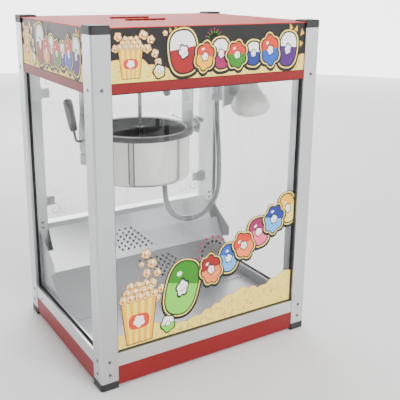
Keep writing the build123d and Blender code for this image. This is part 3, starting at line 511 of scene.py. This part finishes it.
shell_outside = rounded([(0, -100), (117, -100), (117, 6.0)], 12, 10)
shell_inside = rounded([(115.8, 6.0), (115.8, -98.8), (0, -98.8)], 11, 10)
shell = kettle_piece("kettle_skin", np.vstack((shell_outside, shell_inside)), mirror_steel, "kettle_shell")
print("kettle shell", len(shell.data.polygons), "faces")

# %% [markdown]
# The rim and the lining are one wall of the pot in two finishes. A face takes the rim's if its centre lies
# above the rim's foot and outside the pot's inner wall.

# %%
pot_outside = rounded([(0, -84), (110, -84), (110, rim_foot)], 9, 8)
rim_corners = [(110, rim_foot), (125, rim_foot), (125, 18), (rim_inside, 18), (rim_inside, 10)]
rim_section = rounded(rim_corners, 3.2, 7)[1:-1]
pot_inside = rounded([(rim_inside, 10), (rim_inside, -82), (5.0, -82), (5.0, -74), (0, -74)], 6, 8)
pot_profile = np.vstack((pot_outside, rim_section, pot_inside))
pot = kettle_piece("kettle_lining", pot_profile, lining, "kettle_pot")
pot.data.materials.append(rim_coat)
centres = np.array([f.center for f in pot.data.polygons]) - kettle_middle
on_rim = (centres[:, 2] > (rim_foot + 0.1) * mm) & (np.hypot(*centres[:, :2].T) > (rim_inside + 0.2) * mm)
pot.data.polygons.foreach_set("material_index", on_rim.astype(int))
print("kettle pot", len(pot.data.polygons), "faces, of them on the rim", int(on_rim.sum()))

# %% [markdown]
# ## Tipping handle
#
# A steel rod leaves the kettle's left trunnion, turns up at an elbow and carries a barrel grip of black
# phenolic. The grip is turned, thickest where the palm closes. The rod's bend is a quadratic curve between
# its two straight parts, swept with the rod's circle.

# %%
lean = np.radians(26.8)
rise = np.array((0, np.sin(lean), np.cos(lean)))
rod_radius = 3 * mm
elbow_reach = 8 * mm
rod_start = np.array((frame_box("kettle_trunnions")[0][0], 0, kettle_middle[2]))
elbow = np.array((frame_box("tip_lever")[0][0] + rod_radius, 0, kettle_middle[2]))
grip_corners = [(0, 24.5), (7, 24.5), (8.6, 30), (10.0, 48), (10.9, 76), (10.6, 94), (8, 99.6), (0, 100)]
grip_profile = rounded(grip_corners, 5, 6)
grip = lathe("tipping_grip", grip_profile * mm, elbow, rise, phenolic, 64)
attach(grip, "kettle")
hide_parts("tip_grip")
bend = np.linspace(0, 1, 12)[:, None]
near, far = elbow - (-elbow_reach, 0, 0), elbow + elbow_reach * rise
curve = (1 - bend) ** 2 * near + 2 * bend * (1 - bend) * elbow + bend**2 * far
lever_path = np.vstack(([rod_start], curve, [elbow + 30 * mm * rise]))
lever = sweep("tipping_rod", lever_path, rod_radius, ground_steel, 24)
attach(lever, "kettle")
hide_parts("tip_lever")
print("grip faces", len(grip.data.polygons), "rod faces", len(lever.data.polygons))

# %% [markdown]
# ## Reflector lamp
#
# The lamp is blown glass: a shallow dome in front, a bowl that narrows behind it to a neck, and a cap that
# goes into the ceramic holder. It is turned from two curves that meet where the lamp is widest. The dome's
# radius is 48.5 sqrt(1 - (1 - t) ** 2.6), and the bowl's falls with a cosine from there to the neck.

# %%
lamp_tilt = np.radians(8.0)
lamp_axis = (-np.sin(lamp_tilt), 0, np.cos(lamp_tilt))
lamp_widest, neck_radius, cap_radius = 48.5, 23.5, 13.0
t = np.linspace(0, 1, 40)
bulb_height = np.concatenate((-28 + 28 * t, 57 * t[1:]))
dome = lamp_widest * np.sqrt(np.clip(1 - (1 - t) ** 2.6, 0, 1))
fall = 0.5 + 0.5 * np.cos(np.pi * np.clip(t[1:] * 1.12, 0, 1))
bowl = neck_radius + (lamp_widest - neck_radius) * fall**0.9
bulb_profile = np.vstack((np.stack((np.concatenate((dome, bowl)), bulb_height), axis=1),
                          [(cap_radius, 59), (cap_radius, 78), (0, 78)]))
bulb = lathe("reflector_lamp", bulb_profile * mm, (0.206, -0.070, 0.558), lamp_axis, frosted, 96)
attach(bulb, "cabinet")
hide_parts("lamp_bulb")
print("lamp faces", len(bulb.data.polygons))

# %% [markdown]
# ## Inks
#
# The front pane and the three sign panels carry a screen print: each ink is pressed through its own screen,
# a few hundredths of a millimetre thick, over a white undercoat that keeps it bright in front of the dark
# inside. There is no lettering: a row of coloured bubbles, a striped box, popped corn, sparks and a bank of
# popcorn.

# %%
inks = {}
ink_codes = {
    "cream": "FFE268", "puff": "FFD07A", "shade": "D86A10", "brown": "6E3004", "black": "050506",
    "white": "FFFFFF", "green": "2A8400", "red": "980003", "sky": "0050C0", "blue": "0C2C88",
    "orange": "DA3400", "peach": "FF8440", "magenta": "980052", "pink": "FF5A8C", "yellow": "FFB600",
    "violet": "480470", "mint": "78D83C", "ice": "60ACF6",
}
# a dried screen ink is a thin satin film, with the weave of the screen as its finest pattern
ink_film = {"patch": 30, "grain": 0.6, "raised": 0.004, "edge": 0.05, "IOR": 1.48}
for ink_name, code in ink_codes.items():
    inks[ink_name] = finish("screen_ink_" + ink_name, code, 0.42, 0.0, 0.03, 0.05, **ink_film)
inks["backing"] = finish("white_print_undercoat", "F2F0EA", 0.6, 0.0, 0.02, 0.05, **ink_film)
print("inks", len(inks))

# %% [markdown]
# ## A print on a panel
#
# A print could be an image on the panel, but flat outlines stay sharp at any distance and export as meshes.
# Each figure is a polygon in the panel's plane, and each later layer lies 0.03 mm further out. The
# undercoat lies deepest, and its polygons are spaced too, because two that share a plane would shade each
# other.

# %%
undercoat_least = 60  # mm2, the smallest figure that gets an undercoat
print_lift, layer_step = 0.30, 0.03  # mm off the panel, and between two layers


def area(flat):
    """The area inside an outline, half the sum of x y' - x' y: positive if it runs anticlockwise."""
    x, y = np.asarray(flat, float).T
    return np.sum(x * np.roll(y, -1) - np.roll(x, -1) * y) / 2


class Print:
    """Flat outlines on one panel, kept by ink, in mm: u along the panel and v up. scale squeezes u."""

    def __init__(self, origin, along, out, scale=1.0):
        self.origin, self.along, self.out = (np.asarray(v, float) for v in (origin, along, out))
        self.scale = scale
        self.shapes = {}

    def stamp(self, ink, outline, centre=(0, 0), size=(1, 1), turned_by=0.0, layer=0):
        """Adds an outline (n, 2), stretched by size, turned by an angle in degrees and moved to centre."""
        a = np.radians(turned_by)
        spin = np.array(((np.cos(a), -np.sin(a)), (np.sin(a), np.cos(a))))
        flat = (np.asarray(outline, float) * size) @ spin.T + centre
        flat = flat[:: 1 if area(flat) > 0 else -1] * (self.scale, 1.0)
        self.shapes.setdefault(ink, []).append((flat, layer))

    def back(self):
        """The white undercoat, which faces the pane: every large outline again, under all the others."""
        printed = [flat for kept in self.shapes.values() for flat, layer in kept]
        large = [flat for flat in printed if area(flat) > undercoat_least]
        self.shapes["backing"] = [(flat[::-1], -9 + 8 * k / len(large)) for k, flat in enumerate(large)]

    def object(self, name, ink, body="cabinet"):
        """One mesh of all the outlines in an ink: origin + u along + v up + (lift + layer x step) out."""
        points, faces = [], []
        for flat, layer in self.shapes[ink]:
            lift = (print_lift + layer_step * layer) * self.out
            start = sum(len(p) for p in points)
            points.append(self.origin + (flat[:, :1] * self.along + flat[:, 1:] * (0, 0, 1) + lift) * mm)
            faces.append(range(start, start + len(flat)))
        mesh = bpy.data.meshes.new(name)
        mesh.from_pydata(np.vstack(points).tolist(), [], [list(f) for f in faces])
        mesh.materials.append(inks[ink])
        piece = bpy.data.objects.new(name, mesh)
        bpy.context.collection.objects.link(piece)
        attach(piece, body)
        return piece


print("area of a unit square", area([(0, 0), (1, 0), (1, 1), (0, 1)]))

# %% [markdown]
# ## Outlines
#
# All figures are made from four outlines of about unit size: a popped cloud, a rounded square, a crescent
# and a spiral. Each is a closed curve of one angle or of one parameter from 0 to 1.

# %%


def cloud(lobes, depth, start=0.0, steps=72):
    """A popped outline: r = 1 - depth + depth |sin(lobes t / 2 + start)|."""
    t = np.linspace(0, 2 * np.pi, steps, endpoint=False)
    r = 1 - depth + depth * np.abs(np.sin(lobes * t / 2 + start))
    return np.stack((r * np.cos(t), r * np.sin(t)), axis=1)


def squircle(power=2.6, steps=64):
    """A rounded square: |x|^power + |y|^power = 1."""
    t = np.linspace(0, 2 * np.pi, steps, endpoint=False)
    c, s = np.cos(t), np.sin(t)
    return np.stack((np.sign(c) * np.abs(c) ** (2 / power), np.sign(s) * np.abs(s) ** (2 / power)), axis=1)


def arc(sweep_angle=150, thick=0.16, steps=16):
    """A crescent stroke, thickest in its middle."""
    t = np.radians(np.linspace(-sweep_angle / 2, sweep_angle / 2, steps))
    half = thick / 2 * np.cos(t / np.radians(sweep_angle) * np.pi)
    outer = np.stack(((1 + half) * np.cos(t), (1 + half) * np.sin(t)), axis=1)
    inner = np.stack(((1 - half) * np.cos(t), (1 - half) * np.sin(t)), axis=1)[::-1]
    return np.vstack((outer, inner[1:-1]))


def curl(turns=1.35, thick=0.10, steps=44):
    """A spiral stroke: r = 0.12 + 0.88 s over the turns, thickest in its middle, with s from 0 to 1."""
    s = np.linspace(0, 1, steps)
    a = 2 * np.pi * turns * s
    half = thick / 2 * (0.35 + 0.65 * np.sin(np.pi * s))
    ray = np.stack((np.cos(a), np.sin(a)), axis=1)
    middle = 0.12 + 0.88 * s
    return np.vstack(((middle + half)[:, None] * ray, ((middle - half)[:, None] * ray)[::-1]))


print("points in a cloud", len(cloud(5, 0.2)), "and in a curl", len(curl()))

# %% [markdown]
# ## Popped corn
#
# A popped piece is a pale cloud with a brown outline, a light and a shaded lump and two creases. A bank of
# it is one field under a scalloped line, with crescents scattered through it where there is room.

# %%


def puff(panel, centre, size, layer):
    """A popped piece: brown outline, pale cloud, a light and a shaded lump and two small creases."""
    turn, lobes = random.uniform(0, 360), int(random.integers(4, 6))
    light = np.add(centre, (0.25 * size, 0.22 * size))
    dark = np.add(centre, (-0.2 * size, -0.24 * size))
    crease = np.add(centre, (0.1 * size, -0.1 * size))
    panel.stamp("brown", cloud(lobes, 0.24), centre, (size * 1.10, size * 1.02), turn, layer)
    panel.stamp("puff", cloud(lobes, 0.24), centre, (size * 0.98, size * 0.90), turn, layer + 1)
    panel.stamp("white", cloud(3, 0.2), light, (size * 0.36, size * 0.3), turn, layer + 2)
    panel.stamp("shade", cloud(3, 0.3), dark, (size * 0.30, size * 0.24), turn, layer + 2)
    for k in range(2):
        panel.stamp("brown", arc(120, 0.3), crease, (size * 0.42, size * 0.42), turn + 170 * k, layer + 3)


def bank(panel, top, bottom, layer, size=11.0):
    """A bank of popcorn: a cream field under a scalloped top line, with crescents scattered through it.
    The line is the given one plus 0.55 size |sin(1.05 x / size + 0.8 sin(x / 23))|, less 0.3 size."""
    u = np.array([p[0] for p in top], float)
    v = np.array([p[1] for p in top], float)
    x = np.linspace(u[0], u[-1], 420)
    bumps = np.abs(np.sin(x / size * 1.05 + 0.8 * np.sin(x / 23))) * 0.55 * size
    line = np.interp(x, u, v) - 0.3 * size + bumps
    line = np.maximum(line, bottom + 1)
    field = np.vstack((np.stack((x, line), axis=1), [(u[-1], bottom), (u[0], bottom)]))
    edge = field.copy()
    edge[:-2, 1] += 1.1
    panel.stamp("shade", edge, layer=layer)
    panel.stamp("cream", field, layer=layer + 1)
    for _ in range(int((u[-1] - u[0]) * 0.55)):
        across = random.uniform(u[0] + 5, u[-1] - 5)
        room = np.interp(across, x, line) - bottom
        height = bottom + room * random.uniform(0.06, 0.88)
        if room > 8:
            ink = "brown" if random.uniform() < 0.45 else "shade"
            reach = random.uniform(0.25, 0.5) * size
            crescent = arc(random.uniform(80, 170), 0.20)
            panel.stamp(ink, crescent, (across, height), (reach, reach), random.uniform(0, 360), layer + 2)


print("points in a crescent", len(arc(120, 0.3)))

# %% [markdown]
# ## Bubbles, sparks and the box
#
# These are stacks of the same outlines, each a little smaller than the one below. A bubble's upper half is
# printed again in the second ink, which gives it two tones as the real print has.

# %%


def bubble(panel, centre, size, turned_by, low, high, layer, lobes=0, backing=True):
    """A fat bubble: dark and pale border, black outline, a body in two inks, a window and a highlight."""
    body = squircle() if lobes == 0 else cloud(lobes, 0.16, steps=96)
    w, h = size
    if backing:
        panel.stamp("black", body, np.add(centre, (0, -2.5)), (w + 10.5, h + 10.5), turned_by, layer)
        panel.stamp("cream", body, centre, (w + 6.3, h + 6.3), turned_by, layer + 1)
    panel.stamp("black", body, centre, (w + 3.4, h + 3.4), turned_by, layer + 2)
    panel.stamp(low, body, centre, (w, h), turned_by, layer + 3)
    cut = body[body[:, 1] > 0.05]
    order = np.argsort(np.arctan2(cut[:, 1], cut[:, 0]))
    panel.stamp(high, cut[order], centre, (w, h), turned_by, layer + 4)
    panel.stamp("black", cloud(5, 0.26), centre, (w * 0.46, h * 0.40), turned_by, layer + 5)
    panel.stamp("white", cloud(5, 0.26), centre, (w * 0.36, h * 0.31), turned_by, layer + 6)
    panel.stamp("shade", arc(130, 0.4), centre, (w * 0.16, h * 0.14), turned_by - 60, layer + 7)
    a = np.radians(turned_by + 122)
    shine = np.add(centre, (0.60 * w * np.cos(a), 0.60 * h * np.sin(a)))
    panel.stamp("white", squircle(2.0), shine, (w * 0.17, h * 0.09), turned_by + 30, layer + 6)


def sparks(panel, centre, reach, layer, dots=("magenta", "black"), rays=9):
    """A burst: fine rays that end in dots, over the upper half turn."""
    for row, ink in enumerate(dots):
        length = reach * (1.0 - 0.30 * row)
        for angle in np.linspace(-8, 188, rays):
            a = np.radians(angle)
            tip = np.add(centre, (length * np.cos(a), length * np.sin(a)))
            middle = np.add(centre, (0.5 * length * np.cos(a), 0.5 * length * np.sin(a)))
            panel.stamp("shade", squircle(4), middle, (0.5 * length, 0.35), angle, layer)
            panel.stamp(ink, squircle(2), tip, (reach * 0.085, reach * 0.085), 0, layer + 1)


def striped_box(panel, centre, width, height, layer):
    """A flared carton with stripes and popped corn heaped over its rim."""
    u, v = centre
    low, high = 0.36 * width, 0.5 * width
    corners = [(u - low, v), (u + low, v), (u + high, v + height), (u - high, v + height)]
    middle = np.array((u, v + height / 2))
    panel.stamp("black", (np.array(corners) - middle) * (1.05, 1.04) + middle, layer=layer)
    panel.stamp("cream", corners, layer=layer + 1)
    edges = np.linspace(-1, 1, 10)
    for a, b in zip(edges[0::2], edges[1::2]):
        stripe = [(u + low * a, v), (u + low * b, v), (u + high * b, v + height), (u + high * a, v + height)]
        panel.stamp("yellow", stripe, layer=layer + 2)
    panel.stamp("orange", squircle(3), (u, v + height * 0.48), (0.30 * width, 0.17 * height), 0, layer + 3)
    panel.stamp("white", cloud(5, 0.25), (u, v + height * 0.48), (0.17 * width, 0.14 * height), 10, layer + 4)
    for row, count in enumerate((5, 4, 3)):
        for k in range(count):
            across = u + (k - (count - 1) / 2) * 0.22 * width + random.uniform(-1, 1)
            puff(panel, (across, v + height * (1.03 + 0.13 * row)), 0.13 * width, layer + 5 + 4 * (2 - row))


print("stripes on a box", len(np.linspace(-1, 1, 10)) // 2)

# %% [markdown]
# ## Front pane print
#
# The print runs over the lower part of the pane: a bank of popcorn along the bottom, a box at the left with
# popped pieces over it, and a row of bubbles that climbs to the right. It lies on the pane's outer face, the
# lowest y of the glass. Odd bubbles lie over even ones, so that neighbours overlap cleanly.

# %%
front = Print((0, frame_box("glass_panes")[0][1], 0), (1, 0, 0), (0, -1, 0))
front_bank = [(-238, 122), (-205, 112), (-140, 126), (-94, 108), (-40, 112), (12, 128), (60, 146), (95, 152),
              (147, 142), (190, 158), (216, 166), (238, 167)]
bank(front, front_bank, 83.5, 0)
front_puffs = [((-165, 294), 12), ((-151, 270), 12), ((-164, 250), 11), ((-138, 246), 10), ((-150, 224), 12),
               ((-128, 206), 11), ((-139, 186), 10), ((-120, 172), 10), ((-108, 150), 9), ((-176, 272), 7)]
for centre, size in front_puffs:
    puff(front, centre, size, 4)
striped_box(front, (-184, 92), 84, 104, 8)
bubble(front, (-113, 116), (17, 20), 8, "mint", "white", 26, lobes=5, backing=False)
sparks(front, (2, 262), 38, 4)
front_bubbles = [((-76, 194), (39, 62), -14, "mint", "green", 0), ((0, 221), (26, 35), 12, "peach", "red", 7),
                 ((48, 238), (25, 32), -14, "ice", "sky", 0), ((90, 261), (26, 32), 24, "peach", "orange", 6),
                 ((132, 286), (27, 33), 5, "pink", "magenta", 0), ((176, 310), (27, 34), -12, "ice", "blue", 7),
                 ((217, 330), (21, 36), 14, "cream", "yellow", 0)]
for k, (centre, size, turned_by, low, high, lobes) in enumerate(front_bubbles):
    bubble(front, centre, size, turned_by, low, high, 10 + 7 * (k % 2), lobes)
front.back()
for ink in front.shapes:
    front.object("front_print_" + ink, ink)
print("front print outlines", sum(len(s) for s in front.shapes.values()))

# %% [markdown]
# ## Etched curls
#
# The lower and upper corners of both doors carry a frosted flourish, sand-blasted through a stencil: six
# spirals round a corner, seen from inside and outside. The upper ones mirror the lower, and the right door
# the left, so one list serves all four.

# %%
inks["etch"] = finish("etched_frosted_acrylic", "8E949C", 0.75, 0.0, 0.03, 0.05, 20, 0.8, 0.01, IOR=1.49,
                      edge=0.05)
flourish = [((0, 0), 17, 20, 1), ((25, -5), 12, 190, -1), ((-4, 27), 13, 250, 1), ((20, 18), 9, 80, -1),
            ((6, 47), 7, 120, -1), ((44, -8), 7, 30, 1)]
door_inside = frame_box("door_left")[0][1] - 0.1 * mm
corner_across, corner_low, corner_high = 212, 276, 606
for side_name, hand in (("left", 1), ("right", -1)):
    etched = Print((0, door_inside, 0), (1, 0, 0), (0, -1, 0))
    for corner_z, lift in ((corner_low, 1), (corner_high, -1)):
        for (u, v), size, spin, way in flourish:
            place = (hand * (u - corner_across), corner_z + lift * v)
            etched.stamp("etch", curl(), place, (hand * size, lift * way * size), spin * hand, 0)
    etched.object("etched_curls_" + side_name, "etch", side_name + "_door")
print("spirals in a flourish", len(flourish))

# %% [markdown]
# ## Sign prints
#
# The sign has one drawing, laid on the front at full width and squeezed onto both sides. The real
# panels are printed on black, so the figures need no undercoat.

# %%
sign_bubbles = [((-78, 714), (30, 42), 8, "red", "white", 0),
                ((-27, 702), (21, 28), -10, "yellow", "orange", 6),
                ((13, 706), (20, 30), 8, "magenta", "white", 0), ((53, 702), (23, 27), 0, "green", "orange", 7),
                ((96, 703), (19, 24), -8, "blue", "white", 0), ((141, 708), (23, 33), 6, "sky", "orange", 6),
                ((190, 708), (23, 36), -6, "violet", "white", 0)]
sign_puffs = [((-222, 748), 9), ((-168, 750), 10), ((-152, 741), 9), ((-160, 724), 10), ((-143, 714), 9),
              ((-136, 696), 9), ((-228, 726), 8), ((-120, 752), 6)]
sign_chips = [(-108, 755, 20), (-98, 757, -15), (196, 756, 20), (212, 752, -20), (229, 744, 10), (226, 720, 35)]
sign_bank = [(-238, 700), (-190, 712), (-150, 690), (-110, 684), (-40, 678), (60, 682), (150, 684), (200, 690),
             (238, 694)]
side_squeeze = 0.767
lowest, highest = frame_box("sign_panels")
sides = {"front": ((0, lowest[1], 0), (1, 0, 0), (0, -1, 0), 1.0),
         "left": ((lowest[0], 0, 0), (0, -1, 0), (-1, 0, 0), side_squeeze),
         "right": ((highest[0], 0, 0), (0, 1, 0), (1, 0, 0), side_squeeze)}
for side_name, (origin, along, out, scale) in sides.items():
    sign = Print(origin, along, out, scale)
    bank(sign, sign_bank, 660, 0, 9)
    for centre, size in sign_puffs:
        puff(sign, centre, size, 4)
    striped_box(sign, (-196, 668), 52, 58, 8)
    bubble(sign, (-134, 678), (12, 13), 0, "cream", "white", 26, lobes=5, backing=False)
    sparks(sign, (-5, 737), 20, 4, ("magenta", "green"), 9)
    for k, (centre, size, turned_by, low, high, lobes) in enumerate(sign_bubbles):
        bubble(sign, centre, size, turned_by, low, high, 10 + 7 * (k % 2), lobes)
    for u, v, turned_by in sign_chips:
        sign.stamp("yellow", [(-1, -1), (1, -0.6), (0.1, 1.2)], (u, v), (6, 7), turned_by, 6)
    for ink in sign.shapes:
        sign.object("sign_print_" + side_name + "_" + ink, ink)
print("sign prints", len(sides))

# %% [markdown]
# ## Floor
#
# The floor is a plain pale sheet of studio paper, large enough to fill the picture from every side.

# %%
paper = finish("pale_studio_floor", "F6F6F5", 0.85, 0.0, 0.01, 0.05, 400, 30, 0.01, IOR=1.4)
floor_corners = [(-6, -6, 0), (6, -6, 0), (6, 9, 0), (-6, 9, 0)]
floor = mesh_object("floor", floor_corners, [(0, 1, 2, 3)], paper, smooth=False)
print("floor faces", len(floor.data.polygons))

# %% [markdown]
# ## Soft light
#
# A large box in front lights the print, a weak one fills the left side, and one behind shines down through
# the cabinet onto the deck. Large boxes give soft shadows and broad, quiet reflections on the sheet metal.
# A weak white world fills what they leave.

# %%
world = bpy.data.worlds.new("studio")
bpy.context.scene.world = world
world.use_nodes = True
world.node_tree.nodes["Background"].inputs["Color"].default_value = (1.0, 1.0, 1.0, 1)
world.node_tree.nodes["Background"].inputs["Strength"].default_value = 0.2


def softbox(name, place, aim, size, power):
    """A square area lamp at place, facing aim."""
    data = bpy.data.lights.new(name, "AREA")
    data.shape = "SQUARE"
    data.size = size
    data.energy = power
    lamp = bpy.data.objects.new(name, data)
    lamp.location = place
    lamp.rotation_euler = (Vector(aim) - Vector(place)).to_track_quat("-Z", "Y").to_euler()
    bpy.context.collection.objects.link(lamp)


softbox("key", (0.3, -2.7, 2.3), (0, 0, 0.35), 1.6, 105)
softbox("left", (-2.6, -0.6, 1.8), (0, 0, 0.4), 1.6, 8)
softbox("rear", (0.6, 2.2, 2.2), (0, 0.3, 0.2), 2.0, 75)
print("softboxes", len(bpy.data.lights))

# %% [markdown]
# ## Light wall
#
# Polished steel shows what stands round it. A white wall goes all round, dark on the camera's side and
# glowing behind the cabinet, so the clear panes stand against white and the metals keep dark edges. Its
# strength is peak (1 + (x sin h + y cos h) / radius) / 2, with the camera's heading h.

# %%
wall_radius, wall_height, wall_peak, wall_steps = 5.0, 3.0, 3.0, 96
glow = bpy.data.materials.new("white_light_wall")
glow.use_nodes = True
tree = glow.node_tree
place = add(tree, "ShaderNodeTexCoord")
toward = add(tree, "ShaderNodeVectorMath", {"operation": "DOT_PRODUCT"}, {"Vector": place.outputs["Object"]})
toward.inputs[1].default_value = (np.sin(heading), np.cos(heading), 0)
from_dark_to_peak = {"From Min": -wall_radius, "From Max": wall_radius, "To Min": 0.0, "To Max": wall_peak}
strength = add(tree, "ShaderNodeMapRange", from_dark_to_peak, {"Value": toward.outputs["Value"]})
lit = tree.nodes["Principled BSDF"]
lit.inputs["Emission Color"].default_value = (1, 1, 1, 1)
tree.links.new(strength.outputs[0], lit.inputs["Emission Strength"])
around = np.linspace(0, 2 * np.pi, wall_steps, endpoint=False)
foot = np.stack((wall_radius * np.cos(around), wall_radius * np.sin(around), np.zeros(wall_steps)), axis=1)
wall = mesh_object("light_wall", np.vstack((foot, foot + (0, 0, wall_height))), quads(2, wall_steps), glow)
print("light wall faces", len(wall.data.polygons))

# %% [markdown]
# ## Size
#
# The corners of the boxes round all visible pieces, other than floor and wall, are gathered into one array.

# %%
depsgraph = bpy.context.evaluated_depsgraph_get()
corners_seen = []
for thing in bpy.context.scene.objects:
    if thing.type == "MESH" and thing not in (floor, wall) and not thing.hide_render:
        corners_seen.extend(thing.matrix_world @ Vector(c) for c in thing.evaluated_get(depsgraph).bound_box)
corners_seen = np.array([list(c) for c in corners_seen])
